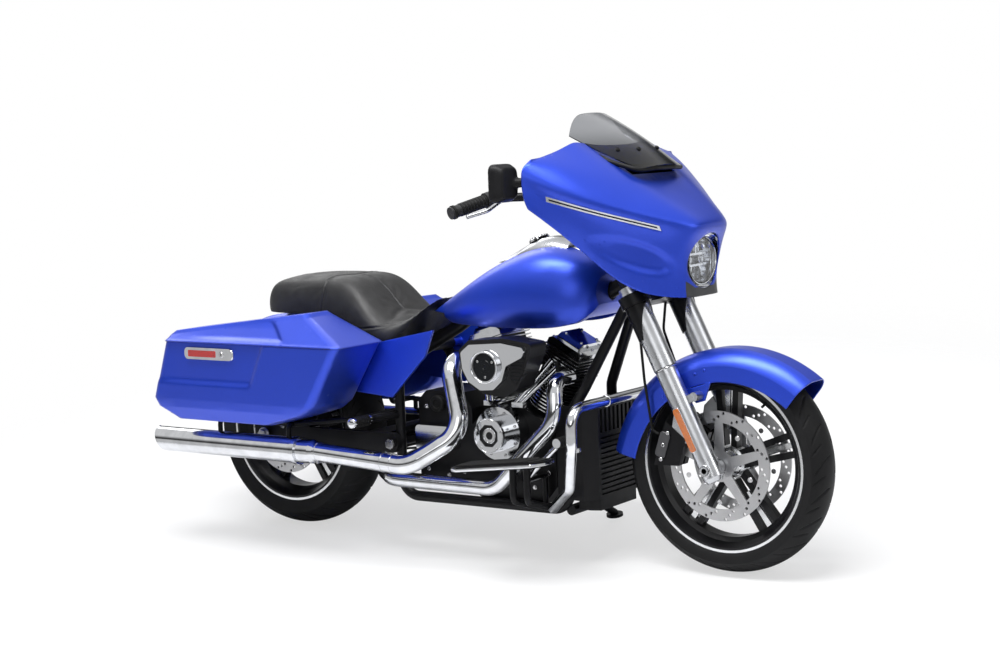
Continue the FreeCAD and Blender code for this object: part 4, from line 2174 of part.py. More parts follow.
def side_stand():
    """The side stand, down and out to the left, with its foot flat on the ground."""
    pivot, foot, way = stand_hinge()
    up = LEANING.inverse().Rotation.multVec(UPWARD)
    plate = Part.makeCylinder(float(size.foot_radius), float(size.foot_thickness), foot, up)
    ankle = foot + up * float(size.stand_radius)
    leg = rod(pivot, ankle, size.stand_radius)
    ball = Part.makeSphere(float(size.stand_radius), ankle)
    knuckle = rod(pivot, pivot + way * float(size.stand_radius), size.stand_radius * 1.3)
    shaped("side_stand", leg.fuse([plate, ball, knuckle]))


def checks():
    """Stop if any feature failed or any sub-part isn't a sound shape."""
    DOCUMENT.recompute()
    for item in DOCUMENT.Objects:
        if "Invalid" in item.State or "Error" in item.State:
            raise RuntimeError(f"{item.Name} failed: {item.State}")
    for name, item in NODES.items():
        if item.Shape.isNull() or not item.Shape.isValid() or not item.Shape.Solids:
            raise RuntimeError(f"{name} is not a sound shape")


def main():
    """Build every sub-part, check it and write it."""
    wheels()
    front_spacer = (size.disc_place + size.disc_thickness, size.leg_place - size.leg_radius - size.fit_gap)
    axle("front_axle", size.leg_place + size.leg_radius + size.axle_radius / 2, FRONT_AXLE,
         front_spacer, front_spacer)
    arm_inner = size.arm_place - size.arm_thickness / 2 - size.fit_gap
    axle("rear_axle", size.arm_place + size.arm_thickness, REAR_AXLE,
         (size.rear_disc_place + size.disc_thickness, arm_inner),
         (size.pulley_place + size.pulley_width, arm_inner))
    fork()
    fork_clamps()
    fenders()
    front_brakes()
    tail()
    fork_shrouds()
    brake_lines()
    frame()
    swingarm()
    shocks()
    rear_brake()
    engine()
    drive_belt()
    exhaust()
    tank()
    console()
    seat()
    saddlebags()
    bag_supports()
    side_panels()
    fairing()
    screen()
    mirrors()
    handlebar()
    radiator()
    engine_guard()
    footboards()
    foot_controls()
    pegs()
    side_stand()
    checks()
    os.makedirs("parts", exist_ok=True)
    for name, item in NODES.items():
        item.Shape.exportStep(f"parts/{name}.step")
        print(name, round(item.Shape.Volume), item.Shape.BoundBox)


main()
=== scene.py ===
import json
import math

import bmesh
import bpy
from mathutils import Matrix, Vector
from mathutils.bvhtree import BVHTree


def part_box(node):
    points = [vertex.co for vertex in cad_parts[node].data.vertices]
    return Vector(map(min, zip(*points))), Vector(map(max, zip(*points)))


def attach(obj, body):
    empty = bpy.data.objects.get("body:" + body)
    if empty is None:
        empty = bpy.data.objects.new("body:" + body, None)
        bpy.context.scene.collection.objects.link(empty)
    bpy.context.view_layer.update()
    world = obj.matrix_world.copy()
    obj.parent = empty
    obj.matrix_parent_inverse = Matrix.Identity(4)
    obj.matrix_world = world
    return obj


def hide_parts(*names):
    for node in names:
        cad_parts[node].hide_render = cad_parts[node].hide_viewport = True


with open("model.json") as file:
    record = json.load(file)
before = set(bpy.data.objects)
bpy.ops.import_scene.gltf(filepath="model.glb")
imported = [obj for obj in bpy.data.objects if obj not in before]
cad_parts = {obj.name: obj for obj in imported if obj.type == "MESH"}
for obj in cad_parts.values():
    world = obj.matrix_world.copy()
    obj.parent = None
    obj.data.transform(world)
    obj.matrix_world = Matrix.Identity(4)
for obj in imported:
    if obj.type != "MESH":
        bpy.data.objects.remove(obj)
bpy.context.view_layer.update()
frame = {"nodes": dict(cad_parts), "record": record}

# The stand and the measures, in millimetres on the upright machine
LEAN = math.radians(-8.5)
REAR_AXLE_PLACE = Vector((-0.8125, 0, 0.00125))
LEANING = Matrix.Translation(REAR_AXLE_PLACE) @ Matrix.Rotation(LEAN, 4, "X")
UPRIGHT = LEANING.inverted()
AHEAD, LEFT, UP = Vector((1, 0, 0)), Vector((0, 1, 0)), Vector((0, 0, 1))
FRONT_AXLE = Vector((1625, 0, 319.5))
REAR_AXLE = Vector((0, 0, 327.5))
CRANK = Vector((930, 0, 300))
BANKS = (28, -17)
CAM_COVER = Vector((914, 0, 381))
CLUTCH = Vector((677, 0, 300))
AIR_CLEANER = Vector((982, 0, 606))
LAMP_UP = 903
FORK_LEG = 125
MUFFLER_OUT, MUFFLER_UP = 330, 313
SPOKES = 5
RAKE = Matrix.Rotation(math.radians(-26), 3, "Y")
SIDES = ((1, "left"), (-1, "right"))


def at(forward, left, up):
    """A place on the upright machine, in millimetres from below the rear axle, in the row frame."""
    return LEANING @ Vector((forward / 1000, left / 1000, up / 1000))


def upright(place):
    """A place in the row frame, in millimetres on the upright machine."""
    return (UPRIGHT @ place) * 1000


def fork(forward, left, up):
    """A place measured along the raked fork from the front axle."""
    return FRONT_AXLE + RAKE @ Vector((forward, left, up))


def bank(angle, forward, left, up):
    """A place measured along a cylinder's axis from the crankshaft."""
    return CRANK + Matrix.Rotation(math.radians(angle), 3, "Y") @ Vector((forward, left, up))


def ray(degrees):
    """The direction square to a cross axle, at an angle up from straight ahead."""
    turn = math.radians(degrees)
    return Vector((math.cos(turn), 0, math.sin(turn)))


def circle(centre, radius, count, start, step=None):
    """Places round a cross axle from a start angle in degrees, evenly spaced or by a step."""
    for index in range(count):
        yield Vector(centre) + ray(start + (step or 360 / count) * index) * radius


def face_axes(facing):
    """The level and the rising direction in the plane of a face."""
    across = facing.cross(UP).normalized()
    return across, across.cross(facing).normalized()


def add_object(name, data):
    """An object of its own in the scene."""
    made = bpy.data.objects.new(name, data)
    bpy.context.scene.collection.objects.link(made)
    return made


# Shader graphs
class Graph:
    """Adds nodes to a shader tree and joins them."""

    def __init__(self, tree):
        self.tree = tree

    def put(self, socket, value):
        if isinstance(value, bpy.types.NodeSocket):
            self.tree.links.new(value, socket)
        elif value is not None:
            socket.default_value = value

    def node(self, kind, values=None, **settings):
        made = self.tree.nodes.new(kind)
        for name, value in settings.items():
            setattr(made, name, value)
        for name, value in (values or {}).items():
            self.put(made.inputs[name], value)
        return made

    def sum(self, operation, first, second=0.0, clamp=False):
        made = self.node("ShaderNodeMath", {0: first, 1: second}, operation=operation)
        made.use_clamp = clamp
        return made.outputs[0]

    def vector(self, operation, first, second=(0, 0, 0)):
        made = self.node("ShaderNodeVectorMath", {0: first, 1: second}, operation=operation)
        return made.outputs["Value"] if operation in ("LENGTH", "DOT_PRODUCT") else made.outputs[0]

    def apart(self, vector):
        return self.node("ShaderNodeSeparateXYZ", {0: vector}).outputs

    def together(self, x, y, z):
        return self.node("ShaderNodeCombineXYZ", {0: x, 1: y, 2: z}).outputs[0]

    def map(self, value, low, high, to_low=0.0, to_high=1.0, smooth=False):
        kind = "SMOOTHSTEP" if smooth else "LINEAR"
        inputs = {"Value": value, "From Min": low, "From Max": high, "To Min": to_low, "To Max": to_high}
        return self.node("ShaderNodeMapRange", inputs, interpolation_type=kind).outputs[0]

    def mix(self, part, first, second, data="RGBA"):
        made = self.node("ShaderNodeMix", data_type=data)
        sockets = {"FLOAT": (0, 2, 3, 0), "RGBA": (0, 6, 7, 2), "VECTOR": (0, 4, 5, 1)}[data]
        for index, value in zip(sockets, (part, first, second)):
            self.put(made.inputs[index], value)
        return made.outputs[sockets[3]]

    def give(self, node, **values):
        for name, value in values.items():
            self.put(node.inputs[name.replace("_", " ")], value)

    def use(self, group, **values):
        made = self.node("ShaderNodeGroup", node_tree=group)
        self.give(made, **values)
        return made.outputs

    def turned(self, vector, angle, axis):
        return self.node("ShaderNodeVectorRotate", {"Vector": vector, "Angle": angle}, rotation_type=axis).outputs[0]

    def noise(self, place, scale, detail=2.0):
        return self.node("ShaderNodeTexNoise", {"Vector": place, "Scale": scale, "Detail": detail}).outputs["Fac"]

    def bump(self, height, strength, distance, normal=None):
        values = {"Strength": strength, "Distance": distance, "Height": height, "Normal": normal}
        return self.node("ShaderNodeBump", values).outputs[0]


def group(name, inputs, outputs, fill):
    """A shader node group that gives values, colours or normals."""
    tree = bpy.data.node_groups.new(name, "ShaderNodeTree")
    for label, kind, value in inputs:
        socket = tree.interface.new_socket(label, in_out="INPUT", socket_type=kind)
        if value is not None:
            socket.default_value = value
    for label, kind in outputs:
        tree.interface.new_socket(label, in_out="OUTPUT", socket_type=kind)
    graph = Graph(tree)
    given = graph.node("NodeGroupInput").outputs
    result = graph.node("NodeGroupOutput")
    for label, value in fill(graph, given).items():
        graph.put(result.inputs[label], value)
    return tree


NUMBER, VECTOR = "NodeSocketFloat", "NodeSocketVector"


def fill_place(graph, given):
    """The upright machine's coordinates in metres and its facing, which move with the piece."""
    made = graph.node("ShaderNodeTexCoord").outputs
    moved = graph.vector("SUBTRACT", made["Object"], tuple(REAR_AXLE_PLACE))
    return {"Place": graph.turned(moved, -LEAN, "X_AXIS"), "Facing": graph.turned(made["Normal"], -LEAN, "X_AXIS")}


PLACE = group("upright_place", [], [("Place", VECTOR), ("Facing", VECTOR)], fill_place)


def fill_grain(graph, given):
    """A fine uneven surface."""
    fine = graph.noise(graph.use(PLACE)["Place"], given["Scale"], 3.0)
    return {"Normal": graph.bump(fine, given["Strength"], given["Depth"])}


GRAIN = group("grain", [("Scale", NUMBER, 900.0), ("Strength", NUMBER, 0.2), ("Depth", NUMBER, 0.0005)],
              [("Normal", VECTOR)], fill_grain)


def fill_uneven(graph, given):
    """A value that wanders between two bounds, for handled and wiped surfaces."""
    broad = graph.noise(graph.use(PLACE)["Place"], given["Scale"], 5.0)
    return {"Value": graph.map(broad, 0.35, 0.65, given["Low"], given["High"])}


UNEVEN = group("uneven", [("Scale", NUMBER, 14.0), ("Low", NUMBER, 0.1), ("High", NUMBER, 0.2)],
               [("Value", NUMBER)], fill_uneven)


def fill_band(graph, given):
    """A mask that is one where a value lies between two bounds, with soft ends."""
    rise = graph.map(graph.sum("SUBTRACT", given["Value"], given["From"]), 0.0, given["Soft"], smooth=True)
    fall = graph.map(graph.sum("SUBTRACT", given["To"], given["Value"]), 0.0, given["Soft"], smooth=True)
    return {"Mask": graph.sum("MULTIPLY", rise, fall)}


BAND = group("band", [("Value", NUMBER, 0.0), ("From", NUMBER, 0.0), ("To", NUMBER, 1.0), ("Soft", NUMBER, 0.001)],
             [("Mask", NUMBER)], fill_band)


def fill_axle(graph, given):
    """The distance from a cross axle, and how far a face looks along it."""
    here = graph.use(PLACE)
    place = graph.apart(here["Place"])
    forward = graph.sum("SUBTRACT", place[0], given["Forward"])
    up = graph.sum("SUBTRACT", place[2], given["Height"])
    radius = graph.vector("LENGTH", graph.together(forward, 0.0, up))
    facing = graph.sum("ABSOLUTE", graph.apart(here["Facing"])[1])
    return {"Radius": radius, "Facing": facing}


AXLE = group("from_axle", [("Forward", NUMBER, 0.0), ("Height", NUMBER, 0.0)],
             [("Radius", NUMBER), ("Facing", NUMBER)], fill_axle)


# Finishes
def surface(name, **inputs):
    """A material with one principled shader; returns it with its graph and shader."""
    made = bpy.data.materials.new(name)
    made.use_nodes = True
    made.node_tree.nodes.clear()
    graph = Graph(made.node_tree)
    shader = graph.node("ShaderNodeBsdfPrincipled")
    output = graph.node("ShaderNodeOutputMaterial")
    graph.put(output.inputs["Surface"], shader.outputs[0])
    graph.give(shader, **inputs)
    return made, graph, shader


def darker(colour, share):
    return tuple(value * share for value in colour[:3]) + (1,)


def dress(mesh, material):
    """Gives a mesh one material."""
    mesh.materials.clear()
    mesh.materials.append(material)


def paint(name, chin=False):
    """Satin metallic blue over fine flakes; the fairing's chin is dark grey."""
    metal, coat = 0.66, 0.45
    made, graph, shader = surface(name, Metallic=metal, Coat_Weight=coat, Coat_Roughness=0.34)
    place = graph.use(PLACE)["Place"]
    flake = graph.node("ShaderNodeTexVoronoi", {"Vector": place, "Scale": 1500.0})
    sparkle = graph.map(flake.outputs["Color"], 0.0, 1.0, 0.86, 1.14)
    shade = graph.node("ShaderNodeHueSaturation", {"Color": BLUE, "Value": sparkle}).outputs[0]
    if chin:
        mask = chin_mask(graph)
        shade = graph.mix(mask, shade, GREY)
        graph.give(shader, Metallic=graph.map(mask, 0.0, 1.0, metal, 0.0),
                   Coat_Weight=graph.map(mask, 0.0, 1.0, coat, 0.0))
    graph.give(shader, Base_Color=shade, Roughness=graph.use(UNEVEN, Scale=9.0, Low=0.33, High=0.39)["Value"])
    soft = graph.node("ShaderNodeBevel", {"Radius": 0.007}, samples=6).outputs[0]
    height = graph.sum("MULTIPLY", graph.noise(place, 260.0, 3.0), 0.00002)
    graph.give(shader, Normal=graph.bump(height, 1.0, 1.0, soft))
    return made


def coated(name, colour, low, high, grain, strength, metallic=0.0):
    """One colour with a fine grain and a roughness that wanders between two bounds."""
    made, graph, shader = surface(name, Metallic=metallic, Specular_IOR_Level=0.5 if metallic else 0.15)
    tone = graph.use(UNEVEN, Scale=25.0, Low=0.92, High=1.08)["Value"]
    shade = graph.node("ShaderNodeHueSaturation", {"Color": colour, "Value": tone}).outputs[0]
    graph.give(shader, Base_Color=shade, Roughness=graph.use(UNEVEN, Scale=12.0, Low=low, High=high)["Value"],
               Normal=graph.use(GRAIN, Scale=grain, Strength=strength, Depth=0.0004)["Normal"])
    return made


def two_tone(name, base, shine, mask_of, base_rough=0.32, shine_rough=0.2):
    """A coated casting with machined or plated places, chosen by a mask."""
    made, graph, shader = surface(name)
    mask = mask_of(graph)
    uneven = graph.use(UNEVEN, Scale=12.0, Low=-0.04, High=0.04)["Value"]
    graph.give(shader, Specular_IOR_Level=graph.map(mask, 0.0, 1.0, 0.25, 0.5),
               Base_Color=graph.mix(mask, base, shine), Metallic=mask,
               Roughness=graph.sum("ADD", graph.mix(mask, base_rough, shine_rough, "FLOAT"), uneven),
               Normal=graph.use(GRAIN, Scale=600.0, Strength=0.1, Depth=0.0004)["Normal"])
    return made


def clear(name, colour, roughness, depth=None):
    """Glass or clear plastic; a screen darkens towards its base."""
    made, graph, shader = surface(name, Transmission_Weight=1.0, IOR=1.45, Base_Color=colour)
    if depth:
        low, high, dark = depth
        up = graph.apart(graph.use(PLACE)["Place"])[2]
        graph.give(shader, Base_Color=graph.mix(graph.map(up, low, high, smooth=True), dark, colour))
    graph.give(shader, Roughness=graph.use(UNEVEN, Scale=5.0, Low=roughness, High=roughness * 2)["Value"])
    return made


def ribbed(name, colour, axis, pitch, rough):
    """Fine parallel ribs under a clear coat, as on a reflector, with painted shade in the troughs between the ribs.
    """
    made, graph, shader = surface(name, Metallic=0.0, Roughness=rough, Coat_Weight=0.6)
    along = graph.vector("DOT_PRODUCT", graph.use(PLACE)["Place"], axis)
    wave = graph.sum("SINE", graph.sum("MULTIPLY", along, math.tau / pitch))
    height = graph.sum("MULTIPLY", wave, 0.5)
    # The base colour is darker where the rib wave is low: painted shade in the troughs.
    graph.give(shader, Base_Color=graph.mix(graph.map(wave, -1, 1), darker(colour, 0.6), colour),
               Normal=graph.bump(height, 0.8, 0.0006))
    return made


def brushed_disc(name, colour, centre):
    """Steel turned on a lathe round its axle."""
    made, graph, shader = surface(name, Metallic=1.0)
    spin = graph.use(AXLE, Forward=centre.x / 1000, Height=centre.z / 1000)
    ring = graph.node("ShaderNodeTexNoise", {"W": graph.sum("MULTIPLY", spin["Radius"], 900.0), "Scale": 1.0,
                                             "Detail": 2.0}, noise_dimensions="1D").outputs["Fac"]
    graph.give(shader, Base_Color=graph.mix(graph.map(ring, 0.3, 0.7), darker(colour, 0.8), colour),
               Roughness=graph.map(ring, 0.3, 0.7, 0.28, 0.42), Normal=graph.bump(ring, 0.25, 0.0003))
    return made


def rim_mask(centre, inner, outer):
    """The bright lip of a rim and the pads where the spokes meet it."""
    def mask_of(graph):
        spin = graph.use(AXLE, Forward=centre.x / 1000, Height=centre.z / 1000)
        lip = graph.use(BAND, Value=spin["Radius"], From=inner / 1000, To=outer / 1000, Soft=0.0008)["Mask"]
        flat = graph.map(spin["Facing"], 0.55, 0.75)
        hub = graph.map(spin["Radius"], 0.052, 0.050)
        return graph.sum("MAXIMUM", graph.sum("MULTIPLY", lip, flat), hub)
    return mask_of


def fin_mask(graph):
    """The machined edges of the cylinders' fins."""
    place = graph.vector("SUBTRACT", graph.use(PLACE)["Place"], tuple(CRANK / 1000))
    masks = []
    for angle in BANKS:
        axes = graph.apart(graph.turned(place, math.radians(-angle), "Y_AXIS"))
        radius = graph.vector("LENGTH", graph.together(axes[0], axes[1], 0.0))
        barrel = graph.sum("MULTIPLY", graph.map(radius, 0.0745, 0.0752), graph.map(axes[2], 0.302, 0.300))
        wide = graph.map(graph.sum("ABSOLUTE", axes[1]), 0.0762, 0.077)
        long = graph.map(graph.sum("ABSOLUTE", axes[0]), 0.0642, 0.065)
        head = graph.sum("MULTIPLY", graph.sum("MAXIMUM", wide, long), graph.map(axes[2], 0.300, 0.302))
        near = graph.map(graph.sum("ABSOLUTE", axes[0]), 0.0785, 0.078)
        masks.append(graph.sum("MULTIPLY", graph.sum("MAXIMUM", barrel, head), near))
    return graph.sum("MAXIMUM", masks[0], masks[1])


def insert_mask(graph):
    """Bright everywhere but in the cam cover's sunk insert."""
    spin = graph.use(AXLE, Forward=CAM_COVER.x / 1000, Height=CAM_COVER.z / 1000)
    left = graph.apart(graph.use(PLACE)["Place"])[1]
    sunk = graph.use(BAND, Value=left, From=-0.2035, To=-0.19, Soft=0.0005)["Mask"]
    inside = graph.map(spin["Radius"], 0.041, 0.0385)
    return graph.sum("SUBTRACT", 1.0, graph.sum("MULTIPLY", sunk, inside))


def cleaner_mask(graph):
    """Chrome on the air cleaner's cover, black on its housing and round insert."""
    left = graph.apart(graph.use(PLACE)["Place"])[1]
    spin = graph.use(AXLE, Forward=AIR_CLEANER.x / 1000, Height=AIR_CLEANER.z / 1000)
    cover = graph.map(left, -0.281, -0.2815)
    dish = graph.sum("MULTIPLY", graph.map(spin["Radius"], 0.0425, 0.0415), graph.map(left, -0.2995, -0.3005))
    return graph.sum("MULTIPLY", cover, graph.sum("SUBTRACT", 1.0, dish, clamp=True))


def chin_mask(graph):
    """Grey on the fairing's chin below the lamp."""
    axes = graph.apart(graph.use(PLACE)["Place"])
    wide = graph.sum("ABSOLUTE", axes[1])
    line = graph.sum("ADD", graph.map(wide, 0.055, 0.09, 0.0, 0.02), 0.829)
    low = graph.map(graph.sum("SUBTRACT", axes[2], line), 0.0012, -0.0012)
    low = graph.sum("MULTIPLY", low, graph.map(wide, 0.0925, 0.091))
    return graph.sum("MULTIPLY", low, graph.map(axes[0], 1.44, 1.443))


def seat_skin():
    """Black leather: pebbled grain, small creases with painted shade in their hollows, and a soft sheen."""
    made, graph, shader = surface("seat_leather")
    place = graph.use(PLACE)["Place"]
    pebble = graph.node("ShaderNodeTexVoronoi", {"Vector": place, "Scale": 620.0}, feature="DISTANCE_TO_EDGE")
    crease = graph.noise(place, 26.0, 4.0)
    height = graph.sum("ADD", graph.map(pebble.outputs["Distance"], 0.0, 0.25), graph.sum("MULTIPLY", crease, 2.0))
    # The colour is darker where the crease height is low: painted shade in the creases.
    shade = graph.mix(graph.map(crease, 0.35, 0.65), (0.007, 0.007, 0.0075, 1), (0.014, 0.014, 0.015, 1))
    graph.give(shader, Base_Color=shade, Roughness=graph.use(UNEVEN, Scale=18.0, Low=0.42, High=0.56)["Value"],
               Normal=graph.bump(height, 0.35, 0.0006))
    return made


BLACK, GREY = (0.006, 0.006, 0.007, 1), (0.03, 0.031, 0.034, 1)
CHROME, SILVER, MACHINED = (0.62, 0.63, 0.65, 1), (0.48, 0.49, 0.51, 1), (0.66, 0.67, 0.68, 1)
BLUE = (0.008, 0.048, 0.54, 1)
SURFACES = {
    "blue_paint": paint("blue_paint"),
    "black_metal": coated("black_metal", BLACK, 0.3, 0.42, 900.0, 0.12),
    "black_cast": coated("black_cast", BLACK, 0.26, 0.38, 500.0, 0.15),
    "black_plastic": coated("black_plastic", (0.008, 0.008, 0.009, 1), 0.4, 0.52, 1400.0, 0.25),
    "chrome": coated("chrome", CHROME, 0.09, 0.11, 120.0, 0.004, 1.0),
    "reflector": coated("reflector", (0.8, 0.81, 0.83, 1), 0.08, 0.14, 60.0, 0.05, 1.0),
    "silver_metal": coated("silver_metal", SILVER, 0.24, 0.34, 700.0, 0.08, 1.0),
    "disc_steel": brushed_disc("disc_steel", (0.5, 0.5, 0.51, 1), FRONT_AXLE),
    "tyre_rubber": coated("tyre_rubber", (0.009, 0.009, 0.0095, 1), 0.5, 0.62, 800.0, 0.3),
    "belt_rubber": coated("belt_rubber", (0.008, 0.008, 0.008, 1), 0.5, 0.6, 800.0, 0.2),
    "seat_leather": seat_skin(),
    "lamp_glass": clear("lamp_glass", (0.95, 0.97, 1.0, 1), 0.02),
    "red_lens": clear("red_lens", (0.55, 0.008, 0.008, 1), 0.06),
    "smoked_screen": clear("smoked_screen", (0.34, 0.35, 0.37, 1), 0.02, (1.2, 1.3, (0.06, 0.065, 0.07, 1))),
}
SPECIAL = {
    "front_wheel": two_tone("front_wheel_black", BLACK, MACHINED, rim_mask(FRONT_AXLE, 247.5, 258)),
    "rear_wheel": two_tone("rear_wheel_black", BLACK, MACHINED, rim_mask(REAR_AXLE, 235, 246)),
    "rear_disc": brushed_disc("rear_disc_steel", (0.5, 0.5, 0.51, 1), REAR_AXLE),
    "cylinders": two_tone("finned_black", BLACK, MACHINED, fin_mask),
    "engine_covers": two_tone("cover_chrome", BLACK, CHROME, insert_mask, 0.35, 0.08),
    "air_cleaner": two_tone("cleaner_black", BLACK, CHROME, cleaner_mask, 0.3, 0.1),
    "fairing": paint("fairing_blue", True),
}
EXTRA = {
    "bolt_steel": coated("bolt_steel", (0.55, 0.55, 0.56, 1), 0.2, 0.32, 300.0, 0.05, 1.0),
    "machined": coated("machined", MACHINED, 0.16, 0.26, 400.0, 0.05, 1.0),
    "caliper_grey": coated("caliper_grey", (0.06, 0.06, 0.064, 1), 0.34, 0.44, 600.0, 0.12, 0.3),
    "amber": ribbed("amber_reflector", (0.62, 0.15, 0.008, 1), (0.0, 0.3, 0.95), 0.0034, 0.16),
    "red": ribbed("red_reflector", (0.52, 0.012, 0.012, 1), (1.0, 0.0, 0.0), 0.0032, 0.14),
    "grip_rubber": coated("grip_rubber", (0.008, 0.008, 0.008, 1), 0.55, 0.68, 900.0, 0.3),
    "thread": coated("thread", (0.03, 0.03, 0.032, 1), 0.6, 0.7, 1500.0, 0.2),
    "mirror_glass": coated("mirror_glass", (0.86, 0.88, 0.9, 1), 0.02, 0.03, 40.0, 0.01, 1.0),
    "dark_glass": coated("dark_glass", (0.006, 0.007, 0.009, 1), 0.04, 0.07, 40.0, 0.01),
    "white_mark": coated("white_mark", (0.75, 0.76, 0.78, 1), 0.4, 0.5, 400.0, 0.05),
}

for entry in frame["record"]["subparts"]:
    dress(frame["nodes"][entry["node"]].data, SPECIAL.get(entry["node"]) or SURFACES[entry["material_slot"]])


# Pieces
class Shape:
    """Solids of one finish, in upright millimetres, that become one piece."""

    def __init__(self):
        self.mesh = bmesh.new()

    def skin(self, loops, trip=False):
        """Faces over a row of loops of points, with flat ends, or round and back to the first."""
        rows = [[self.mesh.verts.new(point) for point in loop] for loop in loops]
        for first, second in zip(rows, rows[1:] + rows[:1] if trip else rows[1:]):
            for index in range(len(first)):
                after = (index + 1) % len(first)
                self.mesh.faces.new((first[index], first[after], second[after], second[index]))
        if not trip:
            self.mesh.faces.new(rows[0][::-1])
            self.mesh.faces.new(rows[-1])

    def lathe(self, foot, way, profile, sides=32, trip=False):
        """Turns a profile of places along an axis and radii."""
        way = Vector(way).normalized()
        across = way.orthogonal().normalized()
        up = way.cross(across)
        loops = []
        for along, radius in profile:
            centre = Vector(foot) + way * along
            loops.append([centre + (across * math.cos(turn) + up * math.sin(turn)) * max(radius, 0.02)
                          for turn in (math.tau * step / sides for step in range(sides))])
        self.skin(loops, trip)

    def rod(self, start, end, radius, edge=0.6, sides=24):
        length = (Vector(end) - Vector(start)).length
        self.lathe(start, Vector(end) - Vector(start),
                   [(0, radius - edge), (edge, radius), (length - edge, radius), (length, radius - edge)], sides)

    def band(self, foot, way, low, high, slope, width, sides):
        """A band round an axis whose ends slope from its low to its high radius."""
        self.lathe(foot, way, [(0, low), (slope, high), (width - slope, high), (width, low)], sides)

    def ring(self, centre, way, radius, thick, sides=48):
        """A round ring of round section."""
        profile = [(thick * math.sin(turn), radius + thick * math.cos(turn))
                   for turn in (math.tau * step / 10 for step in range(10))]
        self.lathe(centre, way, profile, sides, trip=True)

    def dome(self, foot, way, radius, height, sides=28):
        steps = 7
        profile = [(height * math.sin(math.pi / 2 * step / steps), radius * math.cos(math.pi / 2 * step / steps))
                   for step in range(steps + 1)]
        self.lathe(foot, way, [(-1, radius)] + profile, sides)

    def bolt(self, place, way, radius, height, hexagon=True):
        """A bolt head on a washer, with a socket where it isn't six-sided."""
        way = Vector(way).normalized()
        place = Vector(place)
        if hexagon:
            self.rod(place - way, place + way * height * 0.22, radius * 1.35, 0.3, 20)
            self.rod(place, place + way * height, radius, 0.4, 6)
        else:
            self.lathe(place - way, way, [(0, radius), (height * 0.8, radius), (height, radius * 0.84),
                                          (height, radius * 0.5), (height * 0.4, radius * 0.5)], 20)

    def slab(self, corners, depth, edge=1.0):
        """A flat outline pushed by a vector, with softened edges."""
        corners = [Vector(corner) for corner in corners]
        depth = Vector(depth)
        middle = sum(corners, Vector()) / len(corners)
        step = depth.normalized() * edge
        small = [corner + (middle - corner).normalized() * edge for corner in corners]
        self.skin([small, [corner + step for corner in corners], [corner + depth - step for corner in corners],
                   [corner + depth for corner in small]])

    def block(self, centre, right, up, depth, edge=1.0):
        """A softened box from a centre and three half-size vectors."""
        right, up, depth = Vector(right), Vector(up), Vector(depth)
        base = Vector(centre) - depth
        self.slab([base - right - up, base + right - up, base + right + up, base - right + up], depth * 2, edge)

    def path(self, points, radius, sides=14, steps=6):
        """A round bar along a smooth line through points; the radius may be a list."""
        points = [Vector(point) for point in points]
        radii = radius if isinstance(radius, (list, tuple)) else [radius] * len(points)
        places, sizes = [], []
        for index in range(len(points) - 1):
            before, start = points[max(index - 1, 0)], points[index]
            end, after = points[index + 1], points[min(index + 2, len(points) - 1)]
            for step in range(steps + (index == len(points) - 2)):
                part = step / steps
                places.append(0.5 * (2 * start + (end - before) * part
                                     + (2 * before - 5 * start + 4 * end - after) * part ** 2
                                     + (3 * start - before - 3 * end + after) * part ** 3))
                sizes.append(radii[index] + (radii[index + 1] - radii[index]) * part)
        side = (places[1] - places[0]).orthogonal().normalized()
        loops = []
        for index, place in enumerate(places):
            way = (places[min(index + 1, len(places) - 1)] - places[max(index - 1, 0)]).normalized()
            side = (side - way * side.dot(way)).normalized()
            other = way.cross(side)
            loops.append([place + (side * math.cos(turn) + other * math.sin(turn)) * sizes[index]
                          for turn in (math.tau * step / sides for step in range(sides))])
        self.skin(loops)

    def piece(self, name, finish, body, slot, angle=35, replaces=()):
        """Makes the object, in the row frame, with its finish and body; its slot is not used."""
        bmesh.ops.transform(self.mesh, matrix=LEANING @ Matrix.Scale(0.001, 4), verts=self.mesh.verts)
        bmesh.ops.recalc_face_normals(self.mesh, faces=self.mesh.faces)
        mesh = bpy.data.meshes.new(name)
        self.mesh.to_mesh(mesh)
        self.mesh.free()
        mesh.shade_smooth()
        mesh.set_sharp_from_angle(angle=math.radians(angle))
        mesh.materials.append(EXTRA.get(finish) or SURFACES[finish])
        made = add_object(name, mesh)
        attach(made, body)
        if replaces:
            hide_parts(*replaces)


def tree_of(*names):
    """A search tree over the surfaces of some CAD nodes or pieces."""
    points, faces = [], []
    for name in names:
        made = frame["nodes"].get(name) or bpy.data.objects[name]
        start = len(points)
        points += [made.matrix_world @ vertex.co for vertex in made.data.vertices]
        faces += [[start + index for index in polygon.vertices] for polygon in made.data.polygons]
    return BVHTree.FromPolygons(points, faces)


def touch(tree, start, way):
    """Where a ray on the upright machine meets a surface, and the surface's outward direction."""
    spot, facing, _, _ = tree.ray_cast(at(*start), LEANING.to_3x3() @ Vector(way))
    if spot is None:
        return None, None
    facing = UPRIGHT.to_3x3() @ facing
    if facing.dot(Vector(way)) > 0:
        facing = -facing
    return upright(spot), facing


def rounded(half_long, half_tall, radius, steps=5):
    """The corners of a rounded rectangle about zero."""
    points = []
    for across, up, start in ((1, 1, 0), (-1, 1, 90), (-1, -1, 180), (1, -1, 270)):
        for step in range(steps + 1):
            turn = math.radians(start + 90 * step / steps)
            points.append(((half_long - radius) * across + radius * math.cos(turn),
                           (half_tall - radius) * up + radius * math.sin(turn)))
    return points


def on_plane(centre, right, up, outline):
    """A flat outline laid on a plane through a centre."""
    right, up = Vector(right).normalized(), Vector(up).normalized()
    return [Vector(centre) + right * a + up * b for a, b in outline]


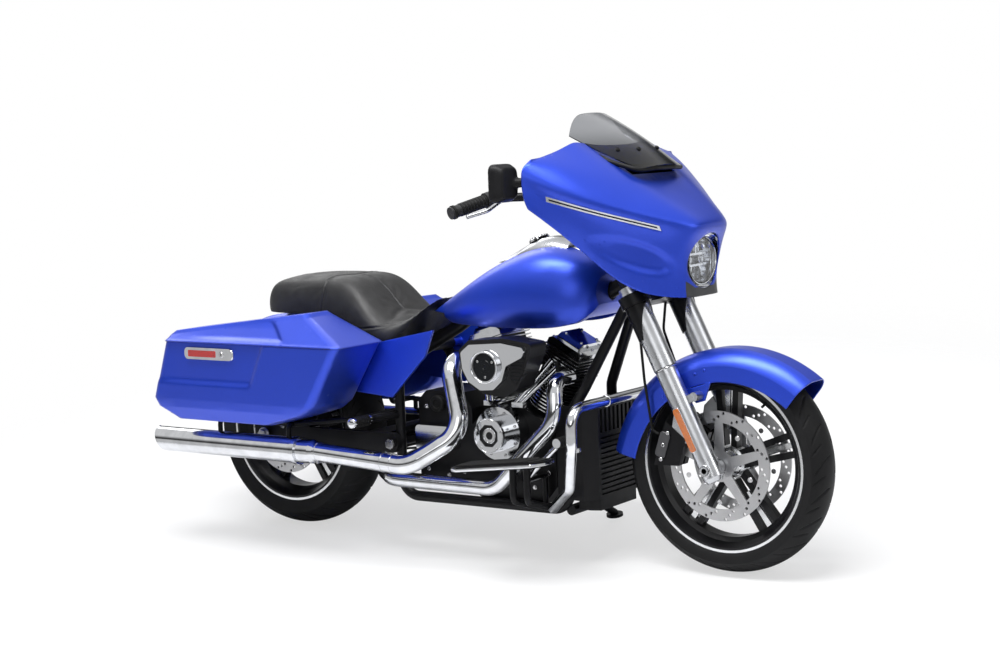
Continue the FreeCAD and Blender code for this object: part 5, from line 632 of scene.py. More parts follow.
# Wheels
def tyre(name, centre, radius, width, shoulder, bead_radius, bead_width, blocks, body):
    """A tyre with curved grooves cut in its tread and rings on its walls."""
    crown = ((width / 2) ** 2 + shoulder ** 2) / (2 * shoulder)
    reach = math.asin(width / 2 / crown)
    profile = []
    for step in range(9):
        part = step / 8
        bulge = 5.5 * math.sin(math.pi * part)
        profile.append((-bead_width / 2 - (width - bead_width) / 2 * part - bulge * 0.55,
                        bead_radius + 3 + (radius - shoulder - bead_radius - 3) * part, None))
    across = 48
    for step in range(1, across):
        turn = -reach + 2 * reach * step / across
        profile.append((crown * math.sin(turn), radius - crown + crown * math.cos(turn), turn / reach))
    profile += [(-a, b, c) for a, b, c in reversed(profile[:9])]
    profile += [(bead_width / 2 - 5, bead_radius + 5, None), (-bead_width / 2 + 5, bead_radius + 5, None)]
    shape = Shape()
    loops, around = [], 960
    for step in range(around):
        turn = step / around
        loop = []
        for side, high, share in profile:
            depth = 0.0
            if share is not None:
                wide = abs(share)
                half = 0.5 if share > 0 else 0.0
                for offset, start, stop, bend, thick in ((half, 0.1, 0.92, 0.75, 0.052),
                                                         (half + 0.5, 0.42, 0.97, 0.5, 0.04)):
                    if start < wide < stop:
                        phase = (turn * blocks + offset + bend * wide ** 1.7) % 1.0 - 0.5
                        taper = min(1.0, math.sin(math.pi * (wide - start) / (stop - start)) * 1.6)
                        depth = max(depth, min(1.0, max(0.0, (thick * taper - abs(phase)) * 60)) * 3.4)
            elif high > bead_radius + 8 and abs(high - bead_radius - 14) < 2.6:
                depth = -0.9
            swing = math.tau * turn
            reach_out = high - depth
            loop.append(centre + Vector((reach_out * math.cos(swing), side, reach_out * math.sin(swing))))
        loops.append(loop)
    shape.skin(loops, trip=True)
    shape.piece(name + "_tread", "tyre_rubber", body, "tyre_rubber", 40, (name,))


def spokes():
    """The outward and the sideways direction of each of a wheel's spokes."""
    for spoke in range(SPOKES):
        degrees = 90 + 360 / SPOKES * spoke
        yield ray(degrees), ray(degrees + 90)


def wheel_details(name, centre, radius, face, bolt_circle, hub_face):
    """Machined pads at the rim, a web in each forked spoke, the bolts of the hub and a valve stem."""
    pads, bolts, stem = Shape(), Shape(), Shape()
    for side, _ in SIDES:
        for out, along in spokes():
            for part in (-1, 1):
                place = centre + out * bolt_circle + along * (9 * part) + LEFT * side * hub_face
                bolts.bolt(place, LEFT * side, 4.2, 5)
            inward = LEFT * side * 5 + out * 3
            bridge = []
            for deep, wide, half in ((1.5, face + 0.6, 17), (-4, face + 0.6, 12), (-13, face - 5, 7.5), (-22, 13, 7)):
                place = centre + out * (radius + deep) + LEFT * side * wide
                start, end = place - along * half, place + along * half
                bridge.append([start, end, end - inward, start - inward])
            pads.skin(bridge)
    web = LEFT * 11
    for out, along in spokes():
        low, high = centre + out * (radius - 158) - web, centre + out * (radius - 14) - web
        pads.slab([low - along * 4, low + along * 4, high + along * 10, high - along * 10], web * 2, 1.2)
    pads.piece(name + "_rim_pads", "machined", name, "silver_metal")
    bolts.piece(name + "_hub_bolts", "bolt_steel", name, "silver_metal")
    out = Vector((math.cos(0.95), 0, math.sin(0.95)))
    stem.path([centre + out * (radius - 14) - LEFT * 20, centre + out * (radius - 26) - LEFT * 24,
               centre + out * (radius - 44) - LEFT * 40], [5, 4.2, 3.6], 12)
    stem.piece(name + "_valve", "grip_rubber", name, "belt_rubber")


def wheels():
    tyre("front_tyre", FRONT_AXLE, 319.5, 130, 34, 241.5, 94, 22, "front_wheel")
    tyre("rear_tyre", REAR_AXLE, 327.5, 180, 44, 229, 134, 20, "rear_wheel")
    wheel_details("front_wheel", FRONT_AXLE, 255.5, 47, 37, 61)
    wheel_details("rear_wheel", REAR_AXLE, 243, 67, 49, 85)
    rivets = Shape()
    for side, _ in SIDES:
        out = LEFT * side
        for place in circle(FRONT_AXLE + out * 73, 104, SPOKES, 54):
            rivets.rod(place - out, place + out * 1.4, 7.5, 0.6)
            rivets.bolt(place + out * 1.4, out, 4.2, 2.4, False)
    rivets.piece("disc_rivets", "bolt_steel", "front_wheel", "silver_metal")


# Fork, front brakes and front fender
def front_end():
    """Reflectors, trim, bolts and caliper plates on the fork, and the front fender's rivets."""
    bolts, amber, frames, plates, rivets = Shape(), Shape(), Shape(), Shape(), Shape()
    along = RAKE @ UP
    turn = math.radians(14)
    for side, _ in SIDES:
        out, leg = LEFT * side, FORK_LEG * side
        face = (RAKE @ -AHEAD * math.sin(turn) + out * math.cos(turn)).normalized()
        across = along.cross(face).normalized()
        centre = fork(0, leg, 128) + face * 30.2
        frames.slab(on_plane(centre - face, across, along, rounded(13, 68, 7)), face * 2.2, 0.6)
        amber.slab(on_plane(centre, across, along, rounded(11, 66, 6)), face * 3.4, 0.9)
        for up in (-24, 22):
            bolts.bolt(fork(22, leg - 18 * side, up), RAKE @ AHEAD, 4.2, 6, False)
            bolts.bolt(fork(-27, leg + 6 * side, up - 6), RAKE @ -AHEAD, 4.2, 5, False)
        bolts.bolt(fork(28, 88 * side, 205), RAKE @ AHEAD, 6.5, 6)
        frames.ring(fork(0, leg, 312), along, 31.2, 1.6)
        for degrees in (149, 162, 176):
            bolts.bolt(FRONT_AXLE + ray(degrees) * 176 + out * 98.5, out, 6.0, 4.5, False)
        radial = ray(162)
        middle = FRONT_AXLE + radial * 178 + out * 97
        plates.slab(on_plane(middle, radial.cross(out), radial, rounded(38, 17, 9)), out * 2.4, 1.0)
    amber.piece("fork_reflectors", "amber", "steering", "red_lens")
    frames.piece("fork_trim", "bolt_steel", "steering", "silver_metal")
    bolts.piece("fork_bolts", "bolt_steel", "steering", "silver_metal")
    plates.piece("caliper_plates", "caliper_grey", "steering", "black_metal")
    tree = tree_of("front_fender")
    for side, _ in SIDES:
        for forward, up in ((1560, 584), (1590, 596), (1500, 552), (1452, 512)):
            place, facing = touch(tree, (forward, 200 * side, up), LEFT * -side)
            if place is not None:
                rivets.dome(place, facing, 4.6, 2.2, 16)
    rivets.piece("front_fender_rivets", "blue_paint", "steering", "blue_paint")


# Fairing, lamp and screen
def lamp_ring(grow, forward, count=64):
    """An oval round the headlamp, on its face, grown by a margin."""
    points = []
    for step in range(count):
        turn = math.tau * step / count
        points.append(Vector((forward, (82 + grow) * math.cos(turn), LAMP_UP + (71 + grow) * math.sin(turn))))
    return points


def oval_band(shape, inner, outer, rear, front):
    """A flat oval ring between two margins."""
    shape.skin([lamp_ring(inner, rear), lamp_ring(outer, rear), lamp_ring(outer, front), lamp_ring(inner, front)],
               trip=True)


def headlamp_details():
    """The lamp's bright ring, its dividers and two projectors behind the lens."""
    _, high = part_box("headlamp_lens")
    face = upright(high).x
    deep = face - 34
    ring, bars, modules, glow = Shape(), Shape(), Shape(), Shape()
    oval_band(ring, -7, -1.5, face - 16, face - 4)
    ring.piece("headlamp_ring", "chrome", "steering", "chrome")
    for up, half in ((18, 66), (-14, 68)):
        bars.block((deep, 0, LAMP_UP + up), LEFT * half, UP * 3.2, AHEAD * 10, 1.0)
    bars.block((deep, 0, LAMP_UP + 34), LEFT * 3.4, UP * 16, AHEAD * 9, 1.0)
    for side, _ in SIDES:
        bars.block((deep, 40 * side, LAMP_UP + 42), LEFT * 3 + UP * 2 * side, UP * 15 - LEFT * 9 * side, AHEAD * 8,
                   0.8)
        bars.block((deep, 30 * side, LAMP_UP - 34), LEFT * 3, UP * 20 - LEFT * 8 * side, AHEAD * 8, 0.8)
        front = Vector((deep + 8, 33 * side, LAMP_UP + 2))
        modules.rod(front - AHEAD * 20, front, 14, 1.5, 32)
        glow.dome(front, AHEAD, 11, 5)
    glow.piece("lamp_projectors", "lamp_glass", "steering", "lamp_glass")
    bars.piece("lamp_dividers", "reflector", "steering", "reflector")
    modules.piece("lamp_modules", "bolt_steel", "steering", "silver_metal")


def fairing_details():
    tree = tree_of("fairing", "light_strips")
    core = Shape()
    for side, _ in SIDES:
        lower, upper = [], []
        for step in range(17):
            part = step / 16
            forward, up = 1276 + 226 * part, 1097.5 - 90 * part
            for shift, row in ((-2.3, lower), (2.3, upper)):
                place, facing = touch(tree, (forward, 500 * side, up + shift), LEFT * -side)
                row.append(place + facing * 0.6 if place is not None else None)
        pairs = [(a, b) for a, b in zip(lower, upper) if a is not None and b is not None]
        core.skin([[a - LEFT * side * 3, b - LEFT * side * 3, b, a] for a, b in pairs])
    core.piece("light_strip_cores", "dark_glass", "steering", "black_plastic")


def screen_details():
    bolts = Shape()
    tree = tree_of("windscreen")
    for left in (-112, -52, 52, 112):
        place, facing = touch(tree, (1700, left, 1228), -AHEAD)
        if place is not None:
            bolts.rod(place - facing * 2, place + facing * 3.5, 7, 0.8)
            bolts.bolt(place + facing * 3, facing, 4, 3, False)
    bolts.piece("screen_bolts", "black_plastic", "steering", "black_plastic")


# Hands, mirrors and instruments
def lever_mask(graph):
    """Silver on the levers, which lie ahead of the grips' axes."""
    axes = graph.apart(graph.use(PLACE)["Place"])
    here = graph.together(axes[0], graph.sum("ABSOLUTE", axes[1]), axes[2])
    away = graph.vector("SUBTRACT", here, (1.042, 0.318, 1.102))
    way = Vector((-0.05, 0.124, -0.034)).normalized()
    distance = graph.vector("LENGTH", graph.vector("CROSS_PRODUCT", away, tuple(way)))
    return graph.map(distance, 0.0275, 0.0285)


def hand_details():
    """The grips' rubbers, the switches' buttons and screws, and the mirrors."""
    dress(frame["nodes"]["hand_controls"].data,
          two_tone("control_black", (0.018, 0.018, 0.019, 1), SILVER, lever_mask, 0.42, 0.26))
    rubber, buttons, screws, glass = Shape(), Shape(), Shape(), Shape()
    for side, _ in SIDES:
        inner, outer = Vector((1042, 318 * side, 1102)), Vector((992, 442 * side, 1068))
        way = (outer - inner).normalized()
        for step in range(11):
            rubber.band(inner + way * (6 + 10.4 * step), way, 17.5, 19.3, 0.8, 8.2, 28)
        rubber.lathe(outer - way * 3, way, [(0, 18), (1, 20.4), (8, 20.4), (9.5, 18), (9.5, 9), (7, 8)], 28)
        hub = inner - way * 22
        for spot, wide in ((-9, 4.2), (2, 5.2), (13, 3.6)):
            buttons.block(hub + way * spot - AHEAD * 21 + UP * 6, way * wide, UP * 3.6, AHEAD * 3, 0.7)
        for spot in (8, -9):
            screws.bolt(hub + way * spot + UP * 22, UP, 3.2, 2.6, False)
    rubber.piece("grip_rubbers", "grip_rubber", "steering", "black_plastic")
    buttons.piece("switch_buttons", "black_plastic", "steering", "black_plastic")
    screws.piece("switch_screws", "bolt_steel", "steering", "silver_metal")
    rounded_mirrors()
    tree = tree_of("mirror_housings")
    for side, _ in SIDES:
        place, _ = touch(tree, (1000, 448 * side, 1148), AHEAD)
        if place is not None:
            glass.slab(on_plane(place - AHEAD * 0.4, LEFT, UP, rounded(34, 40, 17)), -AHEAD * 1.6, 0.6)
    glass.piece("mirror_glasses", "mirror_glass", "steering", "chrome")


def instruments():
    """Four round gauges over a blank display, with a speaker grille on each side."""
    tree = tree_of("fairing_inner")
    rims, faces, marks, grilles, glass = Shape(), Shape(), Shape(), Shape(), Shape()
    for left, up, radius in ((-62, 1128, 44), (62, 1128, 44), (-150, 1120, 25), (150, 1120, 25)):
        place, facing = touch(tree, (900, left, up), AHEAD)
        if place is None:
            continue
        facing = (facing + UP * 0.12).normalized()
        rims.lathe(place - facing * 4, facing, [(0, radius), (12, radius), (14, radius - 2), (12, radius - 4),
                                                (9, radius - 5)], 48)
        faces.rod(place, place + facing * 6.5, radius - 4.5, 0.4, 48)
        across, rise = face_axes(facing)
        for step in range(17):
            turn = math.radians(225 - 270 * step / 16)
            out = across * math.cos(turn) + rise * math.sin(turn)
            tall = 3.6 if step % 4 == 0 else 2.0
            marks.block(place + facing * 6.9 + out * (radius - 9), out.cross(facing) * 0.5, out * tall * radius / 44,
                        facing * 0.3, 0.1)
        hand = across * math.cos(2.6) + rise * math.sin(2.6)
        marks.slab([place + facing * 7 - hand * 5 - hand.cross(facing) * 1.4,
                    place + facing * 7 - hand * 5 + hand.cross(facing) * 1.4,
                    place + facing * 7 + hand * (radius - 13)], facing * 0.8, 0.2)
        glass.dome(place + facing * 7.6, facing, 3.2, 1.6, 16)
    place, facing = touch(tree, (900, 0, 1062), AHEAD)
    if place is not None:
        across, rise = face_axes(facing)
        rims.slab(on_plane(place - facing, across, rise, rounded(82, 36, 8)), facing * 6, 1.5)
        glass.slab(on_plane(place + facing * 4.6, across, rise, rounded(75, 30, 5)), facing * 1.2, 0.4)
    for side, _ in SIDES:
        place, facing = touch(tree, (900, 245 * side, 1106), AHEAD)
        if place is None:
            continue
        rims.ring(place + facing * 1.5, facing, 52, 3.2)
        across, rise = face_axes(facing)
        for row in range(-6, 7):
            half = math.sqrt(50 ** 2 - (row * 7.6) ** 2)
            grilles.rod(place + facing * 1.2 - across * half + rise * row * 7.6,
                        place + facing * 1.2 + across * half + rise * row * 7.6, 1.6, 0.4, 8)
    rims.piece("gauge_rims", "black_metal", "steering", "black_metal")
    faces.piece("gauge_faces", "dark_glass", "steering", "black_plastic")
    marks.piece("gauge_marks", "white_mark", "steering", "silver_metal")
    grilles.piece("speaker_grilles", "black_plastic", "steering", "black_plastic")
    glass.piece("display", "dark_glass", "steering", "black_plastic")


# Panels that are sculpted on the CAD shapes
def sculpted(node, finish, body, size, near, move, sharp=28):
    """A copy of a CAD panel with fine edges where it is near, moved there, in place of it."""
    shape = bmesh.new()
    shape.from_mesh(frame["nodes"][node].data)
    bmesh.ops.remove_doubles(shape, verts=shape.verts, dist=0.00001)
    for _ in range(8):
        long = [edge for edge in shape.edges if edge.calc_length() > size / 1000
                and near(upright((edge.verts[0].co + edge.verts[1].co) / 2), edge.calc_length() * 500)]
        if not long:
            break
        bmesh.ops.subdivide_edges(shape, edges=long, cuts=1)
        bmesh.ops.triangulate(shape, faces=[face for face in shape.faces if len(face.verts) > 3])
    for vertex in shape.verts:
        vertex.co += LEANING.to_3x3() @ move(upright(vertex.co)) / 1000
    bmesh.ops.recalc_face_normals(shape, faces=shape.faces)
    mesh = bpy.data.meshes.new(node + "_panel")
    shape.to_mesh(mesh)
    shape.free()
    mesh.shade_smooth()
    mesh.set_sharp_from_angle(angle=math.radians(sharp))
    mesh.materials.append(finish)
    made = add_object(node + "_panel", mesh)
    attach(made, body)
    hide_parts(node)


def ease(value, low, high):
    """Zero below the low end, one above the high end and smooth between."""
    part = min(1.0, max(0.0, (value - low) / (high - low)))
    return part * part * (3 - 2 * part)


def bag_recess(place):
    """How far the side of a bag's body is sunk, behind a slanted front edge and over a level lower one."""
    front = ease(238 - (655 - place.z) * 0.5 - place.x, 0, 26)
    low = ease(place.z, 512, 540)
    return 9 * front * low * (0.45 + 0.55 * ease(place.x, -276, -150))


def lid_recess(place):
    """How far the side of a lid is sunk below its raised crown, and its lip stands out."""
    front = ease(330 - (place.z - 655) * 1.5 - place.x, 0, 34)
    band = ease(place.z, 664, 676) * ease(744 - place.z, 0, 26)
    return 11 * front * band * ease(place.x, -150, 60) - 2.2 * (1 - ease(abs(place.z - 657), 3, 6))


def panels():
    for side, word in SIDES:
        for node, sink in ((f"saddlebag_{word}", bag_recess), (f"saddlebag_lid_{word}", lid_recess)):
            body = "root" if sink is bag_recess else f"saddlebag_lid_{word}"

            def near(place, reach):
                return abs(place.y) + reach > 330 and place.z + reach > 500

            def move(place):
                return LEFT * -side * sink(place) * ease(abs(place.y), 340, 390)
            sculpted(node, SURFACES["blue_paint"], body, 9, near, move)

    def by_lamp(place, reach):
        return 1300 - reach < place.x < 1560 + reach and 830 - reach < place.z < 1020 + reach

    def scoop(place):
        ahead, up = place.x - 1440, place.z - 930
        along, over = ahead * 0.876 - up * 0.482, ahead * 0.482 + up * 0.876
        depth = 13 * (1 - ease(math.hypot(along / 116, over / 46), 0.5, 1.0)) * ease(abs(place.y), 105, 150)
        return LEFT * (-depth if place.y > 0 else depth)
    sculpted("fairing", SPECIAL["fairing"], "steering", 9, by_lamp, scoop, 38)


def settle(made):
    """Makes what an object's modifiers give its own mesh."""
    mesh = bpy.data.meshes.new_from_object(made.evaluated_get(bpy.context.evaluated_depsgraph_get()))
    made.modifiers.clear()
    made.data = mesh
    return mesh


def rounded_mirrors():
    """The mirror housings, rounded from the CAD shapes."""
    made = add_object("mirror_housings", frame["nodes"]["mirrors"].data.copy())
    remesh = made.modifiers.new("even", "REMESH")
    remesh.mode = "VOXEL"
    remesh.voxel_size = 0.003
    soften = made.modifiers.new("soft", "SMOOTH")
    soften.factor = 0.6
    soften.iterations = 16
    mesh = settle(made)
    mesh.shade_smooth()
    dress(mesh, SURFACES["black_plastic"])
    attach(made, "steering")
    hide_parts("mirrors")


def console_cover():
    """The bright console on top of the tank, from the seat to the steering head."""
    tree = tree_of("tank_console", "fuel_tank")
    cover = Shape()
    loops = []
    for step in range(19):
        part = step / 18
        forward = 858 + 262 * part
        rise = 27 * ease(part, 0, 0.55) * (1 - 0.35 * ease(part, 0.72, 1.0))
        half = 34 + 22 * ease(part, 0, 0.6)
        top, under = [], []
        for across in range(13):
            share = across / 6 - 1
            place, _ = touch(tree, (forward, half * share, 1300), -UP)
            if place is not None:
                top.append(place + UP * (1 + rise * (1 - abs(share) ** 3)))
                under.append(place - UP * 4)
        if len(top) == 13:
            loops.append(top + under[::-1])
    cover.skin(loops)
    cover.piece("console_cover", "silver_metal", "root", "silver_metal", 50)


# Tank, seat and bags
CLOTH_FRAMES = 20
STITCH_GAP, STITCH_PITCH = 6.5, 7.6


def tank_details():
    """The console's cover with its screws, and the fuel cap with its grip studs."""
    console_cover()
    tree = tree_of("console_cover", "tank_console")
    cap, trim = Shape(), Shape()
    place, facing = touch(tree, (985, 0, 1300), -UP)
    profile = [(0, 33), (6, 33), (7.5, 31.5), (7.5, 28), (11, 26.5), (12.5, 22), (12.8, 8)]
    cap.lathe(place - facing * 3, facing, profile, 56)
    across = facing.orthogonal().normalized()
    for step in range(18):
        turn = math.tau * step / 18
        out = across * math.cos(turn) + facing.cross(across) * math.sin(turn)
        cap.rod(place + facing * 4 + out * 27.5, place + facing * 8.5 + out * 27.5, 2.2, 0.5, 10)
    cap.piece("fuel_cap", "chrome", "root", "chrome")
    for forward in (900, 1075):
        place, facing = touch(tree, (forward, 0, 1300), -UP)
        if place is not None:
            trim.bolt(place, facing, 4.5, 3, False)
    trim.piece("console_screws", "bolt_steel", "root", "silver_metal")


def pin_base(made, start, facing):
    """Holds the seat's base and its seams, so that only the cushions are blown up."""
    places = [upright(place) for place in start]
    low = min(place.z for place in places)
    pins = made.vertex_groups.new(name="base")
    for index, place in enumerate(places):
        down = -(UPRIGHT.to_3x3() @ facing[index]).z
        held = 1.0 if down > 0.35 or place.z < low + 14 else max(0.0, 1.0 - seam_distance(place) / 9)
        pins.add([index], max(0.04, held), "REPLACE")


def blow_up(made):
    """Runs the cloth simulation that fills the seat's cover."""
    cloth = made.modifiers.new("leather", "CLOTH")
    settings = cloth.settings
    settings.quality = 5
    settings.mass = 0.5
    settings.tension_stiffness = settings.compression_stiffness = 45
    settings.bending_stiffness = 6
    settings.use_pressure = True
    settings.uniform_pressure_force = 4.0
    settings.effector_weights.gravity = 0.0
    settings.vertex_group_mass = "base"
    cloth.collision_settings.use_collision = False
    cloth.point_cache.frame_end = CLOTH_FRAMES
    for step in range(1, CLOTH_FRAMES + 1):
        bpy.context.scene.frame_set(step)
    settle(made)
    bpy.context.scene.frame_set(1)


def seat():
    """The leather seat: its cover is blown up by cloth simulation, then gets its seams."""
    mesh = frame["nodes"]["seat"].data.copy()
    mesh.name = "seat_cover"
    made = add_object("seat_cover", mesh)
    bpy.context.view_layer.objects.active = made
    remesh = made.modifiers.new("even", "REMESH")
    remesh.mode = "VOXEL"
    remesh.voxel_size = 0.006
    remesh.use_smooth_shade = True
    even = settle(made)
    start = [vertex.co.copy() for vertex in even.vertices]
    facing = [vertex.normal.copy() for vertex in even.vertices]
    for vertex, way in zip(even.vertices, facing):
        vertex.co -= way * 0.003
    pin_base(made, start, facing)
    blow_up(made)
    for vertex, place, way in zip(made.data.vertices, start, facing):
        swell = max(-0.004, min(0.006, (vertex.co - place).dot(way)))
        vertex.co = place + way * swell
    smooth = made.modifiers.new("finer", "SUBSURF")
    smooth.levels = smooth.render_levels = 1
    finer = settle(made)
    for vertex in finer.vertices:
        gap = seam_distance(upright(vertex.co))
        if gap < 12:
            depth = 0.0026 * math.exp(-(gap / 2.2) ** 2) - 0.0007 * math.exp(-((gap - STITCH_GAP) / 2.4) ** 2)
            vertex.co -= vertex.normal * depth
    finer.shade_smooth()
    dress(finer, SURFACES["seat_leather"])
    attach(made, "root")
    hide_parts("seat")
    stitches()


def seam_distance(place):
    """How far a place on the seat lies from the nearest seam, in millimetres."""
    pillion = abs(place.x - (262 - 0.00085 * place.y ** 2 - 0.24 * max(0.0, 800 - place.z)))
    middle = abs(place.y) + (max(0.0, 282 - place.x) + max(0.0, place.x - 452)) * 2
    skirt = abs(place.z - skirt_height(place.x)) + max(0.0, 120 - abs(place.y)) * 0.6
    return min(pillion, middle, skirt)


def skirt_height(forward):
    """The height of the seam along the seat's lower edge."""
    dip = 26 * math.sin(math.pi * min(1.0, max(0.0, (forward - 150) / 430)))
    return 712 - dip + 22 * max(0.0, (forward - 500) / 130)


def stitches():
    """Two rows of thread along each seam, laid on the finished cover."""
    tree = tree_of("seat_cover")
    thread = Shape()
    rows = (-STITCH_GAP, STITCH_GAP)
    for left in range(-21, 22):
        for offset in rows:
            across = left * STITCH_PITCH
            forward = 262 - 0.00085 * across ** 2 + offset
            lay_stitch(thread, tree, (forward, across, 1100), -UP, (0, 1, 0))
    for step in range(22):
        for offset in rows:
            lay_stitch(thread, tree, (288 + step * 7.4, offset, 1100), -UP, (1, 0, 0))
    for side, _ in SIDES:
        for step in range(70):
            forward = 20 + step * STITCH_PITCH
            for offset in rows:
                up = skirt_height(forward) + offset
                lay_stitch(thread, tree, (forward, 400 * side, up), -LEFT * side, (1, 0, 0))
    thread.piece("seat_stitching", "thread", "root", "seat_leather")


def lay_stitch(thread, tree, start, way, along):
    """One stitch where a ray meets the cover, along a direction."""
    place, facing = touch(tree, start, way)
    if place is not None:
        along = Vector(along)
        along = (along - facing * along.dot(facing)).normalized()
        thread.rod(place - along * 2.4, place + along * 2.4, 0.75, 0.3, 6)


def bag_details():
    """The chrome surround with its red reflector and lock, on the side of each bag; the lock's keyhole is a thin dark
    slab, painted shade in place of a slot.
    """
    for side, word in SIDES:
        place, _ = touch(tree_of(f"saddlebag_{word}_panel"), (-6, 700 * side, 621), LEFT * -side)
        out = LEFT * side
        lock_at = place + AHEAD * 58
        surround, red, lock, dark = Shape(), Shape(), Shape(), Shape()
        surround.slab(on_plane(place - out * 4, AHEAD, UP, rounded(106, 19.5, 15)), out * 12, 2.6)
        red.slab(on_plane(place - AHEAD * 27 + out * 7, AHEAD, UP, rounded(60, 10.5, 3)), out * 2.4, 0.8)
        lock.rod(lock_at + out * 6, lock_at + out * 11, 9.5, 1.2, 32)
        # A thin dark slab on the lock's face stands in for the keyhole's slot: painted shade.
        dark.block(lock_at + out * 11, AHEAD * 0.9, UP * 3.4, out * 0.5, 0.1)
        surround.piece(f"bag_{word}_surround", "chrome", "root", "chrome")
        red.piece(f"bag_{word}_reflector", "red", "root", "red_lens")
        lock.piece(f"bag_{word}_lock", "bolt_steel", "root", "silver_metal")
        dark.piece(f"bag_{word}_keyhole", "dark_glass", "root", "black_plastic")


# Engine and exhaust
def engine_details():
    """Bolts, plug boots, collars and trim on the engine's right side and its heads."""
    bolts, caps, boots, collars, small = Shape(), Shape(), Shape(), Shape(), Shape()
    for angle in BANKS:
        up = bank(angle, 0, 0, 1) - CRANK
        for forward in (-52, 52):
            for left in (-66, 0, 66):
                bolts.bolt(bank(angle, forward, left, 374 + (20 if left else 23)), up, 4.6, 6, False)
        for forward in (-30, 30):
            for left in (-44, 44):
                caps.bolt(bank(angle, forward, left, 415.5), up, 4.6, 5)
        out = bank(angle, 0, -1, 0) - CRANK
        boots.path([bank(angle, 18, -66, 318), bank(angle, 18, -92, 326), bank(angle, 10, -104, 346)],
                   [7, 8, 6.5], 16)
        boots.ring(bank(angle, 18, -79, 321), out, 10, 2)
        for along in (176, 356):
            collars.band(bank(angle, 0, 0, along), up, 56, 60, 0.5, 5.5, 48)
    for place in circle(CAM_COVER - LEFT * 156.6, 69, 8, 22.5):
        bolts.bolt(place, -LEFT, 4.4, 5.5, False)
    for place in circle(CAM_COVER - LEFT * 204.6, 46.5, 5, 90):
        bolts.bolt(place, -LEFT, 3.6, 3.4, False)
    caps.ring(CAM_COVER - LEFT * 200.9, LEFT, 22, 1.5)
    caps.ring(CAM_COVER - LEFT * 205.2, LEFT, 51.5, 1.3, 64)
    for forward in (-50, 50):
        for up in (-27, 27):
            bolts.bolt((664 + forward, -131, 350 + up * 1.1), -LEFT, 4.6, 5)
    for up in (-16, 0, 16):
        caps.block((664, -156.2, 350 + up), AHEAD * 44, UP * 2.2, LEFT * 1.4, 0.6)
    boots.lathe((650, -94, 452), -LEFT, [(0, 26), (16, 26), (19, 23), (19, 15), (15, 13)], 36)
    small.lathe(CAM_COVER - LEFT * 200.2, -LEFT, [(0, 20), (1.2, 20), (1.2, 12), (0.4, 11)], 40)
    tree = tree_of("engine_case")
    for forward, up in ((806, 440), (800, 262), (850, 214), (930, 196), (1010, 214), (1062, 262), (1072, 330),
                        (600, 240), (600, 440), (740, 240), (740, 462), (680, 226)):
        place, facing = touch(tree, (forward, -400, up), LEFT)
        if place is not None:
            bolts.bolt(place, facing, 5, 6)
    bolts.piece("engine_bolts", "bolt_steel", "root", "silver_metal")
    caps.piece("cover_trim", "chrome", "root", "chrome")
    boots.piece("plug_boots", "grip_rubber", "root", "belt_rubber")
    collars.piece("barrel_collars", "machined", "root", "silver_metal")
    small.piece("cam_insert_ring", "bolt_steel", "root", "silver_metal")
    left_side()


def left_side():
    """The clutch and inspection covers on the primary, with the bolts round its edge."""
    covers, bolts = Shape(), Shape()
    face = LEFT * 197.3
    clutch, inspection = CLUTCH + face, Vector((905, 0, 300)) + face
    covers.lathe(clutch - LEFT, LEFT, [(0, 80), (4, 80), (7, 76), (9, 60), (10.5, 30), (11, 6)], 72)
    covers.slab(on_plane(inspection - LEFT, AHEAD, UP, rounded(46, 30, 14)), LEFT * 7, 2)
    for place in circle(clutch + LEFT * 6, 69, 5, 90):
        bolts.bolt(place, LEFT, 4, 4, False)
    for forward in (-39, 39):
        for up in (-22, 22):
            bolts.bolt(inspection + LEFT * 5 + AHEAD * forward + UP * up, LEFT, 3.6, 3.6, False)
    edge = [clutch + AHEAD * forward + UP * up for forward in (63, 153, 243) for up in (93, -93)]
    edge += circle(clutch + AHEAD * 333, 93, 5, -80, 40)
    edge += circle(clutch, 95, 5, 100, 40)
    for place in edge:
        bolts.bolt(place - LEFT * 0.6, LEFT, 4.4, 4.5, False)
    covers.piece("primary_covers", "chrome", "root", "chrome")
    bolts.piece("primary_bolts", "bolt_steel", "root", "silver_metal")


def air_cleaner_details():
    """The air cleaner's ring, its plain insert with three screws, and the ribbed panel ahead of it."""
    ring, panel, screws, ribs = Shape(), Shape(), Shape(), Shape()
    middle = AIR_CLEANER - LEFT * 300.16
    ring.ring(middle - LEFT * 12, LEFT, 46.2, 2.6, 64)
    ribs.lathe(middle - LEFT * 5.4, -LEFT, [(0, 41), (1.4, 41), (1.4, 20), (2.4, 19), (2.4, 8), (1.2, 7)], 56)
    for place in circle(middle - LEFT * 6.4, 30, 3, 30):
        screws.bolt(place, -LEFT, 3.6, 2, False)
    panel.slab([(1060, -279, 646), (1112, -279, 640), (1100, -279, 590), (1072, -279, 552), (1052, -279, 572)],
               -LEFT * 3.2, 1.2)
    for step in range(7):
        up = 632 - 10.5 * step
        ribs.rod((1062 - step * 0.6, -282.6, up), (1107 - step * 3.6, -282.6, up), 1.5, 0.4, 8)
    ring.piece("air_cleaner_ring", "chrome", "root", "chrome")
    screws.piece("air_cleaner_screws", "bolt_steel", "root", "silver_metal")
    ribs.piece("air_cleaner_insert", "dark_glass", "root", "black_plastic")
    panel.piece("air_cleaner_panel", "black_plastic", "root", "black_plastic")


